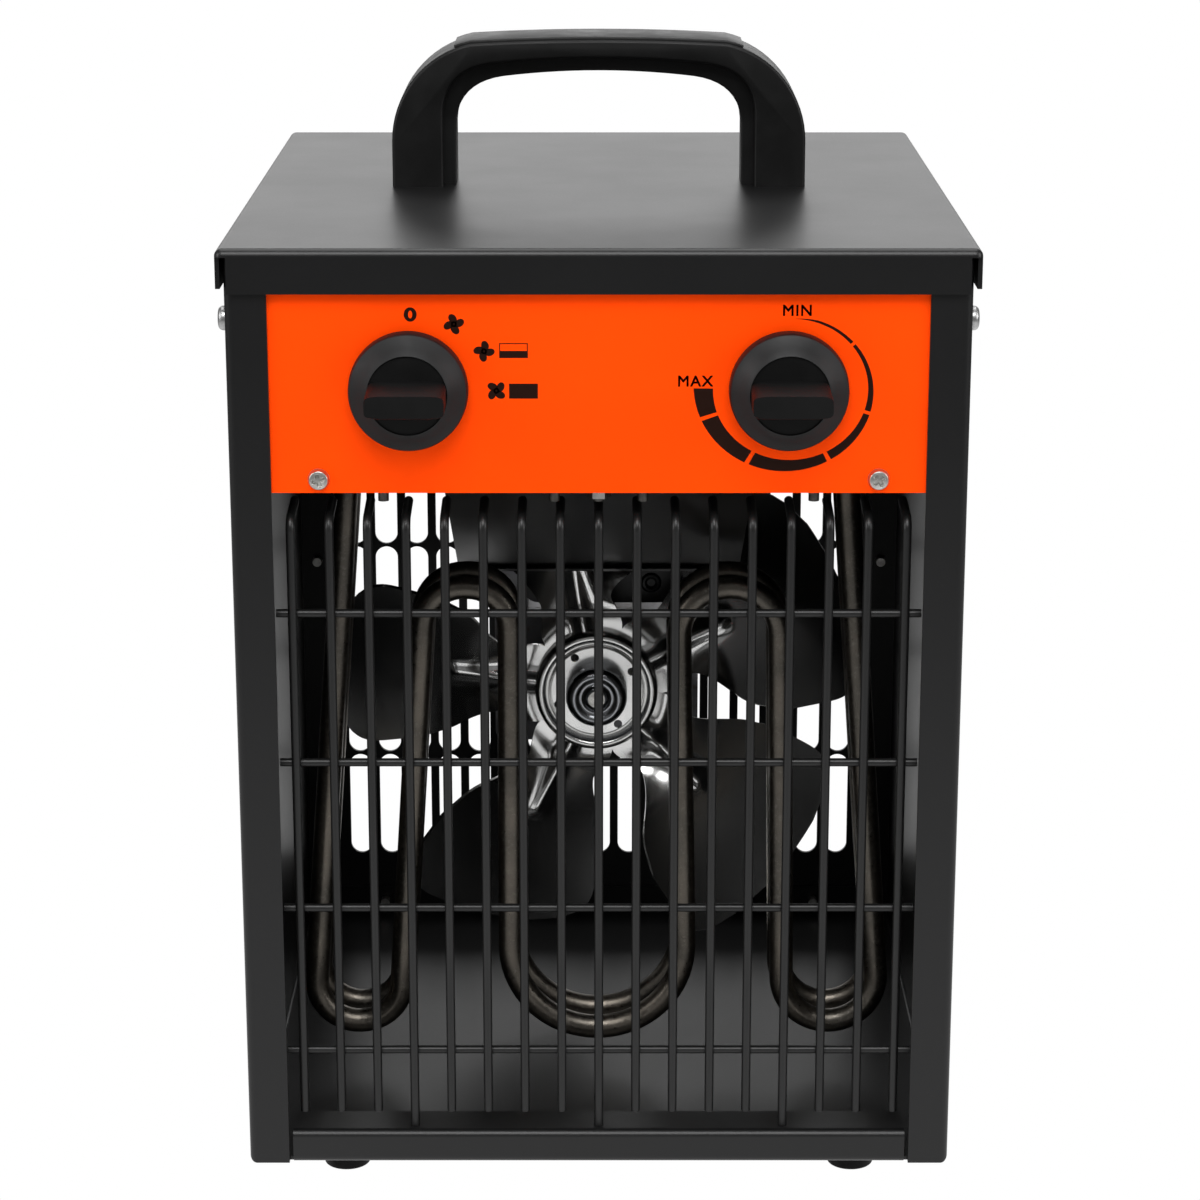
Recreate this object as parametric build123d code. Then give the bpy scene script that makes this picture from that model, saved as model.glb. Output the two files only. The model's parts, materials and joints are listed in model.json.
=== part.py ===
from build123d import *
import math
import os

# Industrial fan heater: a folded steel box with a control compartment above a heating duct.
# Millimetres. X runs to the viewer's right, Y runs away from the viewer, Z is up.
# The origin is the middle of the whole heater's box, on the surface that it stands on.

os.makedirs("parts", exist_ok=True)

# Body and cover, folded from sheet
body_width = 190.0
body_depth = 215.0
body_height = 250.2
sheet = 1.0
bend_radius = 2.0
post_width = 10.8
lip_height = 9.4
lip_return = 13.0
lip_gap = 1.1
cover_sheet = 1.2
cover_side_gap = 0.8
cover_end_gap = 0.5
cover_front_flange = 11.5
cover_side_flange = 10.4

# Feet
foot_height = 9.0
foot_radius = 7.0
foot_inset_x = 25.0
foot_inset_y = 20.5

# Control panel and compartment
panel_sheet = 1.2
panel_bottom = 187.7
panel_flange = 18.0
fit_gap = 0.2
tray_sheet = 1.0
tray_flange = 8.0

# Knobs and the spindles that they turn
knob_spacing = 97.0
knob_axis_height = 215.0
knob_skirt_radius = 15.35
knob_skirt_depth = 5.0
knob_disc_radius = 10.1
knob_disc_depth = 11.6
knob_depth = 23.6
knob_grip_front = 6.0
knob_grip_base = 8.4
knob_panel_gap = 0.6
knob_wall = 2.0
spindle_radius = 3.0
spindle_flat = 1.5
spindle_clearance = 0.06
bushing_radius = 4.7
switch_size = (30.0, 21.0, 30.0)
thermostat_size = (34.0, 24.0, 32.0)

# Handle
handle_setback = 101.7
handle_depth = 23.6
handle_half_width = 58.0
handle_height = 41.8
handle_leg = 14.4
handle_web = 3.4
handle_web_setback = 5.0
handle_screw_spacing = 101.0

# Front grille
wire_radius = 1.2
cross_wire_radius = 1.1
wire_count = 17
wire_side_gap = 4.2
wire_plane = 4.5
wire_top = 179.6
wire_foot = 13.6
wire_return = 14.8
cross_wire_rows = 4
cross_wire_first = 30.6
cross_wire_pitch = 41.1
locating_wires = (3, 8, 13)

# Heating elements
element_tube_radius = 3.4
element_plane = 60.0
element_spacing = 14.5
element_pin_radius = 1.6
element_pin_length = 16.0

# Heat deflector, a folded plate that slopes back from under the compartment
deflector_width = 81.0
deflector_start = 13.2
deflector_end = 96.0
deflector_drop = 44.6

# Fan and motor
fan_axis_x = -0.7
fan_axis_height = 98.4
fan_plane = 114.5
fan_radius = 78.0
fan_sheet = 1.0
fan_disc_radius = 14.3
fan_web_radius = 26.0
fan_ring_depth = 7.5
fan_disc_setback = 1.5
blade_count = 5
blade_first_angle = 27.0
blade_span_angle = 51.0
blade_pitch_angle = 28.0
hub_radius = 9.0
hub_depth = 8.0
shaft_radius = 2.5
shaft_clearance = 0.05
rotor_radius = 12.0
rotor_gap = 0.3
stator_plane = 143.0
stator_thickness = 20.0
motor_screw_spacing = 34.0
motor_screw_rise = 38.0

# Rear frame and inlet plate
rear_plane = 187.0
rear_lip = 10.0
rear_leg = 15.0
rear_plate_margin = 1.5
slot_columns = 17
slot_rows = 4
slot_side_margin = 18.2
slot_pitch_z = 34.6
slot_width = 7.0
slot_length = 33.6
slot_bottom = 21.4

# Fasteners: shank radius, head radius and head height
side_screw = (1.9, 3.2, 2.6)
panel_screw = (1.6, 2.85, 2.0)
small_screw = (1.4, 2.8, 1.8)
foot_screw = (1.9, 3.6, 2.2)
handle_screw = (2.4, 4.5, 2.5)
screw_clearance = 0.15

# Cable inlet
gland_radius = 6.0
gland_bore_radius = 3.6
gland_inset = 37.0
gland_height = 222.0

# Places that follow from the sizes above
front_reach = knob_depth - sheet
back_reach = cover_end_gap + cover_sheet + small_screw[2]
front_y = (front_reach - back_reach - body_depth) / 2
rear_y = front_y + body_depth
base_z = foot_height
wall_top = base_z + body_height
cover_top = wall_top + cover_sheet
half_width = body_width / 2
inner_half = half_width - sheet
gland_x = half_width - gland_inset
slot_pitch_x = (body_width - 2 * slot_side_margin) / (slot_columns - 1)
post_edge = half_width - post_width
lip_half = post_edge - lip_gap
wire_pitch = (post_edge - wire_side_gap) * 2 / (wire_count - 1)
panel_y = front_y + sheet
panel_back = panel_y + panel_sheet
panel_z = base_z + panel_bottom
panel_half = inner_half - fit_gap
tray_half = panel_half - panel_sheet - fit_gap
tray_z = panel_z
tray_top = tray_z + tray_sheet
inlet_y = front_y + rear_plane
axis_z = base_z + fan_axis_height
knob_z = base_z + knob_axis_height
knob_x = knob_spacing / 2
MIDDLE = (Align.CENTER, Align.CENTER, Align.MIN)


def slab(x, y, z):
    """A plain block between three pairs of coordinates."""
    block = Box(x[1] - x[0], y[1] - y[0], z[1] - z[0], align=(Align.MIN, Align.MIN, Align.MIN))
    return Pos(x[0], y[0], z[0]) * block


def rod_x(radius, x0, x1, y, z):
    return Pos(x0, y, z) * Rot(0, 90, 0) * Cylinder(radius, x1 - x0, align=MIDDLE)


def rod_y(radius, y0, y1, x, z):
    return Pos(x, y0, z) * Rot(-90, 0, 0) * Cylinder(radius, y1 - y0, align=MIDDLE)


def rod_z(radius, z0, z1, x, y):
    return Pos(x, y, z0) * Cylinder(radius, z1 - z0, align=MIDDLE)


def prism_x(face, x0, x1):
    """A face drawn as (Y, Z), pulled from x0 to x1."""
    return extrude(Plane.YZ.offset(x0) * face, amount=x1 - x0, dir=(1, 0, 0))


def prism_y(face, y0, y1):
    """A face drawn as (X, Z), pulled from y0 to y1."""
    return extrude(Plane.XZ.offset(-y0) * face, amount=y1 - y0, dir=(0, 1, 0))


def polygon(*points):
    return make_face(Polyline(*points, close=True))


def fuse(pieces):
    whole = pieces[0]
    for piece in pieces[1:]:
        whole = whole + piece
    return whole


def swap_ends(solid):
    """The same shape at the other end of the body."""
    return mirror(solid, about=Plane.XZ.offset(-(front_y + body_depth / 2)))


def other_side(solid):
    return mirror(solid, about=Plane.YZ)


def screw(spec, length, shank_length=None):
    """A pan head screw along +Z, its head's seat at zero, with a cross recess in the head."""
    shank, head, height = spec
    body = Cylinder(shank, length, align=MIDDLE)
    body = Pos(0, 0, -length) * body
    cap = fillet(Cylinder(head, height, align=MIDDLE).faces().sort_by(Axis.Z)[-1].edges(), height * 0.5)
    slot = Pos(0, 0, height * 0.55) * Box(head * 1.05, head * 0.24, height, align=MIDDLE)
    cap = cap - slot - Rot(0, 0, 90) * slot
    return body + cap


def screw_to_front(spec, length, x, seat_y, z):
    """A screw whose head faces the viewer."""
    return Pos(x, seat_y, z) * Rot(90, 0, 0) * screw(spec, length)


def screw_to_back(spec, length, x, seat_y, z):
    return Pos(x, seat_y, z) * Rot(-90, 0, 0) * screw(spec, length)


def hex_nut(across_flats, bore, height):
    """A nut along +Z, standing on zero."""
    hexagon = RegularPolygon(across_flats / 2, 6, major_radius=False)
    return extrude(hexagon, height) - Cylinder(bore, height, align=MIDDLE)


# Housing

def end_channel(height, reach, wall):
    """The folded edge across the bottom of an open end, drawn as (Y, Z) from the outer corner."""
    outer = polygon((0, 0), (reach, 0), (reach, height), (0, height))
    outer = fillet(outer.vertices().group_by(Axis.X)[0], bend_radius)
    inner = polygon((wall, wall), (reach, wall), (reach, height - wall), (wall, height - wall))
    inner = fillet(inner.vertices().group_by(Axis.X)[0], bend_radius - wall)
    return outer - inner


def locating_hole_places():
    return [wire_x(index) for index in locating_wires]


def body_shell():
    hull = fillet(
        polygon((-half_width, base_z), (half_width, base_z), (half_width, wall_top), (-half_width, wall_top))
        .vertices().group_by(Axis.Y)[0], bend_radius)
    core = fillet(
        polygon((-inner_half, base_z + sheet), (inner_half, base_z + sheet), (inner_half, wall_top),
                (-inner_half, wall_top)).vertices().group_by(Axis.Y)[0], bend_radius - sheet)
    wrap = prism_y(hull - core, front_y, rear_y)
    post = slab((-half_width, -post_edge), (front_y, front_y + sheet), (base_z, wall_top))
    post = post & prism_y(hull, front_y, rear_y)
    slit = slab((-post_edge, post_edge), (front_y, front_y + bend_radius), (base_z, base_z + sheet))
    edge = prism_x(end_channel(lip_height, lip_return, sheet), -lip_half, lip_half)
    edge = Pos(0, front_y, base_z) * edge
    wrap = wrap - slit - swap_ends(slit)
    shell = fuse([wrap, post, other_side(post), swap_ends(post), swap_ends(other_side(post)),
                  edge, swap_ends(edge)])
    corners = Pos(0, front_y + body_depth / 2, base_z)
    shell = shell & extrude(corners * RectangleRounded(body_width, body_depth, bend_radius), body_height)
    for x in locating_hole_places():
        shell -= rod_z(wire_radius + screw_clearance, base_z + sheet, base_z + lip_height, x, wire_y)
    for x, y in foot_places():
        shell -= rod_z(foot_screw[0] + screw_clearance, base_z, base_z + sheet, x, y)
    for side in (-1, 1):
        shell -= rod_x(side_screw[0] + screw_clearance, -half_width, half_width, side_screw_y, side_screw_z)
        shell -= rod_y(small_screw[0] + screw_clearance, rear_y - sheet, rear_y,
                       side * cover_screw_x, cover_screw_z)
    return shell


def top_cover():
    half = half_width + cover_side_gap + cover_sheet
    front = front_y - cover_end_gap - cover_sheet
    back = rear_y + cover_end_gap + cover_sheet
    bottom = cover_top - cover_front_flange
    outer = slab((-half, half), (front, back), (bottom, cover_top))
    outer = fillet(outer.edges().filter_by(Axis.Z), bend_radius)
    outer = fillet(outer.faces().sort_by(Axis.Z)[-1].edges(), bend_radius)
    inner = slab((-half + cover_sheet, half - cover_sheet), (front + cover_sheet, back - cover_sheet),
                 (bottom, wall_top))
    cover = outer - inner
    relief = 3.0
    for x in (-half, half - relief):
        for y in (front, back - cover_end_gap - cover_sheet):
            notch = slab((x, x + relief), (y, y + cover_end_gap + cover_sheet), (bottom, wall_top - 1.0))
            cover -= notch
    trim = cover_top - cover_side_flange
    cover -= slab((-half, -half_width), (front, back), (bottom, trim))
    cover -= slab((half_width, half), (front, back), (bottom, trim))
    for side in (-1, 1):
        cover -= rod_z(handle_screw[0] + screw_clearance, wall_top, cover_top,
                       side * handle_screw_spacing / 2, handle_mid_y)
        cover -= rod_y(small_screw[0] + screw_clearance, rear_y, back, side * cover_screw_x, cover_screw_z)
    return cover


def cover_screws():
    seat = rear_y + cover_end_gap + cover_sheet
    reach = seat - rear_y + 6.0
    return [screw_to_back(small_screw, reach, side * cover_screw_x, seat, cover_screw_z) for side in (-1, 1)]


def foot_places():
    x = half_width - foot_inset_x
    return [(side * x, y) for side in (-1, 1) for y in (front_y + foot_inset_y, rear_y - foot_inset_y)]


def rubber_feet():
    feet = []
    for x, y in foot_places():
        foot = Pos(x, y, 0) * Cone(foot_radius * 0.9, foot_radius, foot_height, align=MIDDLE)
        foot = fillet(foot.faces().sort_by(Axis.Z)[0].edges(), 0.8)
        feet.append(foot - rod_z(foot_screw[0] + screw_clearance, 2.0, foot_height, x, y))
    return feet


def foot_screws():
    return [Pos(x, y, base_z + sheet) * screw(foot_screw, sheet + foot_height - 2.5) for x, y in foot_places()]


# Handle

def handle_face(leg, crown, grow):
    """The arch drawn as (X, Z) above the cover: legs of this width, the top this thick."""
    w = handle_half_width
    h = handle_height
    shoulder = 28.0
    shoulder_z = h - 28.4
    turn = math.radians(78)
    mid = math.radians(39)
    cx = w - shoulder
    top_x = cx + shoulder * math.cos(turn)
    top_z = shoulder_z + shoulder * math.sin(turn)
    mid_x = cx + shoulder * math.cos(mid)
    mid_z = shoulder_z + shoulder * math.sin(mid)
    outer = [
        Line((-w, 0), (-w, shoulder_z)),
        ThreePointArc((-w, shoulder_z), (-mid_x, mid_z), (-top_x, top_z)),
        ThreePointArc((-top_x, top_z), (0, h), (top_x, top_z)),
        ThreePointArc((top_x, top_z), (mid_x, mid_z), (w, shoulder_z)),
        Line((w, shoulder_z), (w, 0)),
    ]
    iw = w - leg
    ih = h - crown
    side_z = ih - 15.0 - grow
    knee_x = iw - 13.5
    knee_z = ih - 1.6
    bend_x = iw - 3.6
    bend_z = ih - 6.2
    inner = [
        Line((w, 0), (iw, 0)),
        Line((iw, 0), (iw, side_z)),
        ThreePointArc((iw, side_z), (bend_x, bend_z), (knee_x, knee_z)),
        ThreePointArc((knee_x, knee_z), (0, ih), (-knee_x, knee_z)),
        ThreePointArc((-knee_x, knee_z), (-bend_x, bend_z), (-iw, side_z)),
        Line((-iw, side_z), (-iw, 0)),
        Line((-iw, 0), (-w, 0)),
    ]
    return make_face(Curve() + outer + inner)


def handle():
    y0 = front_y + handle_setback
    y1 = y0 + handle_depth
    arch = Pos(0, 0, cover_top) * prism_y(handle_face(handle_leg, 5.4, 0.0), y0, y1)
    web = Pos(0, 0, cover_top) * prism_y(
        handle_face(handle_leg + handle_web, 5.4 + handle_web + 0.6, 1.0),
        y0 + handle_web_setback, y1 - handle_web_setback)
    grip = arch + web
    for side in (-1, 1):
        grip -= rod_z(handle_screw[0] + screw_clearance, cover_top, cover_top + 14.0,
                      side * handle_screw_spacing / 2, handle_mid_y)
    return grip


def handle_screws():
    length = cover_sheet + 12.0
    return [Pos(side * handle_screw_spacing / 2, handle_mid_y, wall_top) * Rot(180, 0, 0)
            * screw(handle_screw, length) for side in (-1, 1)]


# Control compartment

def control_panel():
    top = wall_top - fit_gap
    plate = slab((-panel_half, panel_half), (panel_y, panel_back), (panel_z, top))
    flange = slab((-panel_half, -panel_half + panel_sheet), (panel_y, panel_back + panel_flange), (panel_z, top))
    panel = plate + flange + other_side(flange)
    panel -= rod_x(side_screw[0] + screw_clearance, -half_width, half_width, side_screw_y, side_screw_z)
    for side in (-1, 1):
        panel -= rod_y(bushing_radius + screw_clearance, panel_y, panel_back, side * knob_x, knob_z)
        panel -= rod_y(panel_screw[0] + screw_clearance, panel_y, panel_back, side * panel_screw_x, panel_screw_z)
    return panel


def panel_screws():
    return [screw_to_front(panel_screw, 8.0, side * panel_screw_x, panel_y, panel_screw_z) for side in (-1, 1)]


def side_screws():
    right = Pos(half_width, side_screw_y, side_screw_z) * Rot(0, 90, 0) * screw(side_screw, 9.0)
    left = Pos(-half_width, side_screw_y, side_screw_z) * Rot(0, -90, 0) * screw(side_screw, 9.0)
    return [left, right]


def compartment_tray():
    """The floor between the compartment and the heating duct, with a flange up at each end."""
    back = inlet_y
    floor = slab((-tray_half, tray_half), (panel_back, back), (tray_z, tray_top))
    front_up = slab((-tray_half, tray_half), (panel_back, panel_back + tray_sheet), (tray_z, tray_z + tray_flange))
    rear_half = inner_half - rear_lip - fit_gap
    rear_up = slab((-rear_half, rear_half), (back - tray_sheet, back), (tray_z, tray_z + tray_flange))
    corner = slab((rear_half, tray_half), (back - sheet, back), (tray_z, tray_top))
    tray = floor + front_up + rear_up - corner - other_side(corner)
    for side in (-1, 1):
        tray -= rod_y(panel_screw[0] + screw_clearance, panel_back, panel_back + tray_sheet,
                      side * panel_screw_x, panel_screw_z)
        tray -= rod_y(small_screw[0] + screw_clearance, back - tray_sheet, back, side * tray_screw_x, tray_screw_z)
    for x, y in element_ends():
        tray -= rod_z(bush_radius + screw_clearance, tray_z, tray_top, x, y)
    for x, y in tray_screw_places() + bracket_screw_places():
        tray -= rod_z(small_screw[0] + screw_clearance, tray_z, tray_top, x, y)
    return tray


def tray_screw_places():
    """Screws down through the tray at its front: two hold switch gear and three the terminals."""
    y = front_y + terminal_setback
    return [(x, y) for x in (-56.0, -terminal_pitch, 0.0, terminal_pitch, 56.0)]


def bracket_screw_places():
    y = front_y + stator_plane - bracket_flange / 2 - bracket_sheet
    return [(fan_axis_x - motor_screw_spacing / 2, y), (fan_axis_x + motor_screw_spacing / 2, y)]


def tray_screws():
    """Self-tapping screws whose points show below the front edge of the panel."""
    lift = {0: clip_sheet, 1: terminal_base, 2: 0.0, 3: terminal_base, 4: clip_sheet}
    return [Pos(x, y, tray_top + lift[i]) * screw(small_screw, lift[i] + tray_sheet + 4.2)
            for i, (x, y) in enumerate(tray_screw_places())]


def earth_nut():
    x, y = tray_screw_places()[2]
    return [Pos(x, y, tray_z - deflector_sheet - 2.2) * hex_nut(5.5, small_screw[0] + screw_clearance, 2.2)]


def terminal_block():
    x, y = tray_screw_places()[2]
    y0 = panel_back + tray_sheet + fit_gap
    block = slab((-terminal_pitch - 6.0, terminal_pitch + 6.0), (y0, y0 + 16.0), (tray_top, tray_top + 13.0))
    block -= slab((-5.0, 5.0), (y0, y0 + 16.0), (tray_top, tray_top + 6.0))
    for side in (-1, 1):
        block -= rod_z(small_screw[1] + fit_gap, tray_top + terminal_base, tray_top + 13.0,
                       side * terminal_pitch, y)
        block -= rod_z(small_screw[0] + screw_clearance, tray_top, tray_top + terminal_base,
                       side * terminal_pitch, y)
    for step in (-1, 0, 1):
        block -= rod_y(1.8, y0 + 11.0, y0 + 16.0, step * 5.6, tray_top + 9.0)
    return block


def switch_gear(size, x):
    """A switch body behind the panel: a housing, a bushing through the panel and a row of tabs."""
    w, d, h = size
    y0 = panel_back
    housing = slab((x - w / 2, x + w / 2), (y0, y0 + d), (knob_z - h / 2, knob_z + h / 2))
    housing = fillet(housing.edges().filter_by(Axis.Y), 2.0)
    bush = rod_y(bushing_radius, panel_y - bushing_length, y0, x, knob_z)
    tabs = [slab((x + dx - 3.15, x + dx + 3.15), (y0 + d, y0 + d + 8.0), (knob_z + dz - 0.4, knob_z + dz + 0.4))
            for dx in (-8.0, 8.0) for dz in (-8.0, 8.0)]
    body = fuse([housing, bush] + tabs)
    return body - rod_y(spindle_radius + spindle_clearance, panel_y - bushing_length,
                        y0 + spindle_depth + 0.3, x, knob_z)


def rotary_switch():
    return switch_gear(switch_size, -knob_x)


def thermostat():
    return switch_gear(thermostat_size, knob_x)


def gear_clip(x, size):
    """An angle that stands the switch gear's lower edge on the tray, held by one screw."""
    w, d, h = size
    sx = math.copysign(56.0, x)
    y = front_y + terminal_setback
    top = knob_z - h / 2
    y0 = panel_back + tray_sheet + fit_gap
    foot = slab((sx - 6.0, sx + 6.0), (y0, y0 + 14.0), (tray_top, tray_top + clip_sheet))
    web = slab((sx - 6.0, sx + 6.0), (y0 + 14.0 - clip_sheet, y0 + 14.0), (tray_top, top))
    return foot + web - rod_z(small_screw[0] + screw_clearance, tray_top, tray_top + clip_sheet, sx, y)


def gear_clips():
    return [gear_clip(-knob_x, switch_size), gear_clip(knob_x, thermostat_size)]


def bushing_nuts():
    nuts = []
    for x in (-knob_x, knob_x):
        nut = hex_nut(13.0, bushing_radius + 0.05, 2.0)
        nuts.append(Pos(x, panel_y, knob_z) * Rot(90, 0, 0) * nut)
    return nuts


def spindle(x):
    """The turning spindle, with a flat where the knob grips it."""
    front = panel_y - knob_depth + 7.0
    pin = rod_y(spindle_radius, front, panel_back + spindle_depth, x, knob_z)
    cut = slab((x - spindle_radius, x + spindle_radius), (front, panel_y - bushing_length - 0.5),
               (knob_z + spindle_radius - spindle_flat, knob_z + spindle_radius))
    return pin - cut


def knob(x):
    """A round skirt, a dished cone and a grip bar across the face, hollow behind."""
    profile = [
        (0, knob_panel_gap), (knob_skirt_radius - 0.4, knob_panel_gap),
        (knob_skirt_radius, knob_panel_gap + 0.5), (knob_skirt_radius - 0.2, knob_skirt_depth),
        (knob_skirt_radius - 1.2, knob_skirt_depth + 0.9), (knob_disc_radius, knob_disc_depth),
        (0, knob_disc_depth),
    ]
    body = revolve(make_face(Polyline(*profile, close=True)), Axis.Y)
    body = Rot(180, 0, 0) * body
    half_base = knob_grip_base / 2
    half_front = knob_grip_front / 2
    bar = polygon((-knob_disc_depth + 1, -half_base), (-knob_depth, -half_front),
                  (-knob_depth, half_front), (-knob_disc_depth + 1, half_base))
    bar = prism_x(bar, -knob_disc_radius, knob_disc_radius)
    bar = fillet(bar.edges().filter_by(Axis.Y, tolerance=12), 1.5)
    body = body + bar
    body -= rod_y(knob_skirt_radius - knob_wall, -knob_panel_gap - 3.2, 0, 0, 0)
    bore_end = -knob_depth + 7.0 - 0.4
    bore = rod_y(spindle_radius + spindle_clearance, bore_end, 0, 0, 0)
    flat_z = spindle_radius - spindle_flat + spindle_clearance
    flat = slab((-4, 4), (bore_end, -bushing_length - 0.8), (flat_z, 4))
    body -= bore - flat
    body -= rod_y(bushing_radius + 0.5, -bushing_length - 0.8, 0, 0, 0)
    pip = Pos(0, -knob_skirt_depth - 1.6, knob_skirt_radius - 2.6) * Sphere(0.6)
    return Pos(x, panel_y, knob_z) * (body + pip)


def thermal_cutout():
    """A snap-disc cutout that sits on the tray over the elements."""
    y = front_y + element_plane + 30.0
    x = 34.0
    body = rod_z(8.0, tray_top, tray_top + 9.0, x, y) + rod_z(9.5, tray_top, tray_top + 1.0, x, y)
    tabs = [slab((x + dx - 0.4, x + dx + 0.4), (y - 3.15, y + 3.15), (tray_top + 9.0, tray_top + 16.0))
            for dx in (-4.5, 4.5)]
    return fuse([body] + tabs)


def lead(points, radius):
    """An insulated internal lead that follows straight runs with rounded corners."""
    path = FilletPolyline(*points, radius=5.0)
    start = Plane(origin=path @ 0, z_dir=path % 0)
    return sweep(start * Circle(radius), path=path)


def internal_leads():
    """Leads above the tray, each from a tab or a terminal to the next piece."""
    low = knob_z - 8.0
    y_switch = panel_back + switch_size[1] + 8.3
    y_thermo = panel_back + thermostat_size[1] + 8.3
    y_block = panel_back + tray_sheet + fit_gap + 11.3
    block_z = tray_top + 9.0
    cut_y = front_y + element_plane + 30.0
    pin_x, pin_y = element_ends()[0]
    pin_top = tray_top + bush_rise + element_pin_length + 0.3
    runs = [
        [(-knob_x + 8, y_switch, low), (-knob_x + 8, y_switch + 14, low), (-5.6, y_switch + 14, low),
         (-5.6, y_switch + 14, block_z), (-5.6, y_block, block_z)],
        [(knob_x - 8, y_thermo, low), (knob_x - 8, y_thermo + 14, low), (5.6, y_thermo + 14, low),
         (5.6, y_thermo + 14, block_z), (5.6, y_block, block_z)],
        [(-knob_x - 8, y_switch, low), (-knob_x - 8, y_switch + 14, low), (pin_x, y_switch + 14, low + 14),
         (pin_x, pin_y, low + 14), (pin_x, pin_y, pin_top)],
        [(knob_x + 8, y_thermo, low), (knob_x + 8, y_thermo + 16, low), (38.5, cut_y - 14, low + 6),
         (38.5, cut_y, low + 6), (38.5, cut_y, tray_top + 16.3)],
    ]
    return [lead(run, 1.2) for run in runs]


# Heat deflector and grille

def deflector_slope():
    return deflector_drop / (deflector_end - deflector_start)


def heat_deflector():
    top = tray_z
    t = deflector_sheet
    y0 = front_y + terminal_setback - 5.0
    y1 = front_y + deflector_start
    y2 = front_y + deflector_end
    low = top - t - deflector_drop
    section = polygon((y0, top), (y1, top), (y2, low + t), (y2, low), (y1, top - t), (y0, top - t))
    half = deflector_width / 2
    plate = prism_x(section, -half, half)
    hem = Pos(0, y2, low) * prism_x(polygon((-2.6, 0.2), (0, -1.2), (0.9, -1.2), (0.9, 1.0), (-0.4, 1.2)),
                                    -half + 3, half - 3)
    plate = plate + hem
    round_cut = extrude(Pos(0, (y0 + y2 + 2) / 2, low - 5) * RectangleRounded(
        deflector_width, y2 + 2 - y0, 3.0), deflector_drop + 20)
    plate = plate & round_cut
    for x, y in tray_screw_places()[1:4]:
        plate -= rod_z(small_screw[0] + screw_clearance, top - t, top, x, y)
    return plate


def wire_x(index):
    return (index - (wire_count - 1) / 2) * wire_pitch


def front_grille():
    """Upright wires bent back at the top, welded to cross wires behind them."""
    upright_top = base_z + wire_top
    bend = 3.2
    pieces = []
    for index in range(wire_count):
        x = wire_x(index)
        foot = base_z + (sheet + fit_gap if index in locating_wires else wire_foot)
        path = FilletPolyline((x, wire_y, foot), (x, wire_y, upright_top),
                              (x, wire_y + wire_return, upright_top + 1.6), radius=bend)
        pieces.append(sweep(Pos(x, wire_y, foot) * Circle(wire_radius), path=path))
    reach = post_edge + fit_gap
    y = wire_y + wire_radius + cross_wire_radius - 0.3
    for row in range(cross_wire_rows):
        z = base_z + cross_wire_first + row * cross_wire_pitch
        pieces.append(rod_x(cross_wire_radius, -reach, reach, y, z))
    return fuse(pieces)


# Heating elements

def element_path():
    """The serpentine as (X, Z) corners, each with the radius of its bend."""
    z0 = base_z
    top = tray_top + bush_rise
    straight = top - 21.0
    u_low = z0 + 16.5
    mid_low = z0 + 14.6
    arch = z0 + 146.2
    left = -inner_half + 24.5
    right = inner_half - 25.4
    corners = [
        ((left, top), None), ((left, straight), 30.0), ((left - 12.4, u_low), 12.0), ((left + 12.2, u_low), 12.0),
        ((-48.6, arch), 11.6), ((-24.8, arch), 11.6), ((-25.4, mid_low), 24.8), ((24.8, mid_low), 24.8),
        ((22.2, arch), 13.8), ((50.4, arch), 13.8), ((right - 16.0, u_low), 13.6), ((right + 11.9, u_low), 13.6),
        ((right, straight), 30.0), ((right, top), None),
    ]
    return corners


def element_ends():
    ends = []
    for row in (0, 1):
        y = front_y + element_plane + row * element_spacing
        ends += [(element_path()[0][0][0], y), (element_path()[-1][0][0], y)]
    return ends


def heating_element(row):
    y = front_y + element_plane + row * element_spacing
    corners = element_path()
    points = [(x, y, z) for (x, z), bend in corners]
    radii = [bend for place, bend in corners[1:-1]]
    path = FilletPolyline(*points, radius=radii)
    tube = sweep(Plane(origin=path @ 0, z_dir=path % 0) * Circle(element_tube_radius), path=path)
    pins = [rod_z(element_pin_radius, tray_top + bush_rise, tray_top + bush_rise + element_pin_length, x, y)
            for x in (points[0][0], points[-1][0])]
    return fuse([tube] + pins)


def element_bushes():
    """Threaded sleeves round the element ends, with a collar under the tray."""
    bushes = []
    for x, y in element_ends():
        sleeve = rod_z(bush_radius, tray_z - bush_collar, tray_top + bush_rise, x, y)
        collar = rod_z(bush_radius + 2.0, tray_z - bush_collar, tray_z, x, y)
        bore = rod_z(element_tube_radius + 0.05, tray_z - bush_collar, tray_top + bush_rise, x, y)
        bushes.append(sleeve + collar - bore)
    return bushes


def element_nuts():
    return [Pos(x, y, tray_top) * hex_nut(13.0, bush_radius + 0.05, 3.0) for x, y in element_ends()]


# Fan and motor

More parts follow.
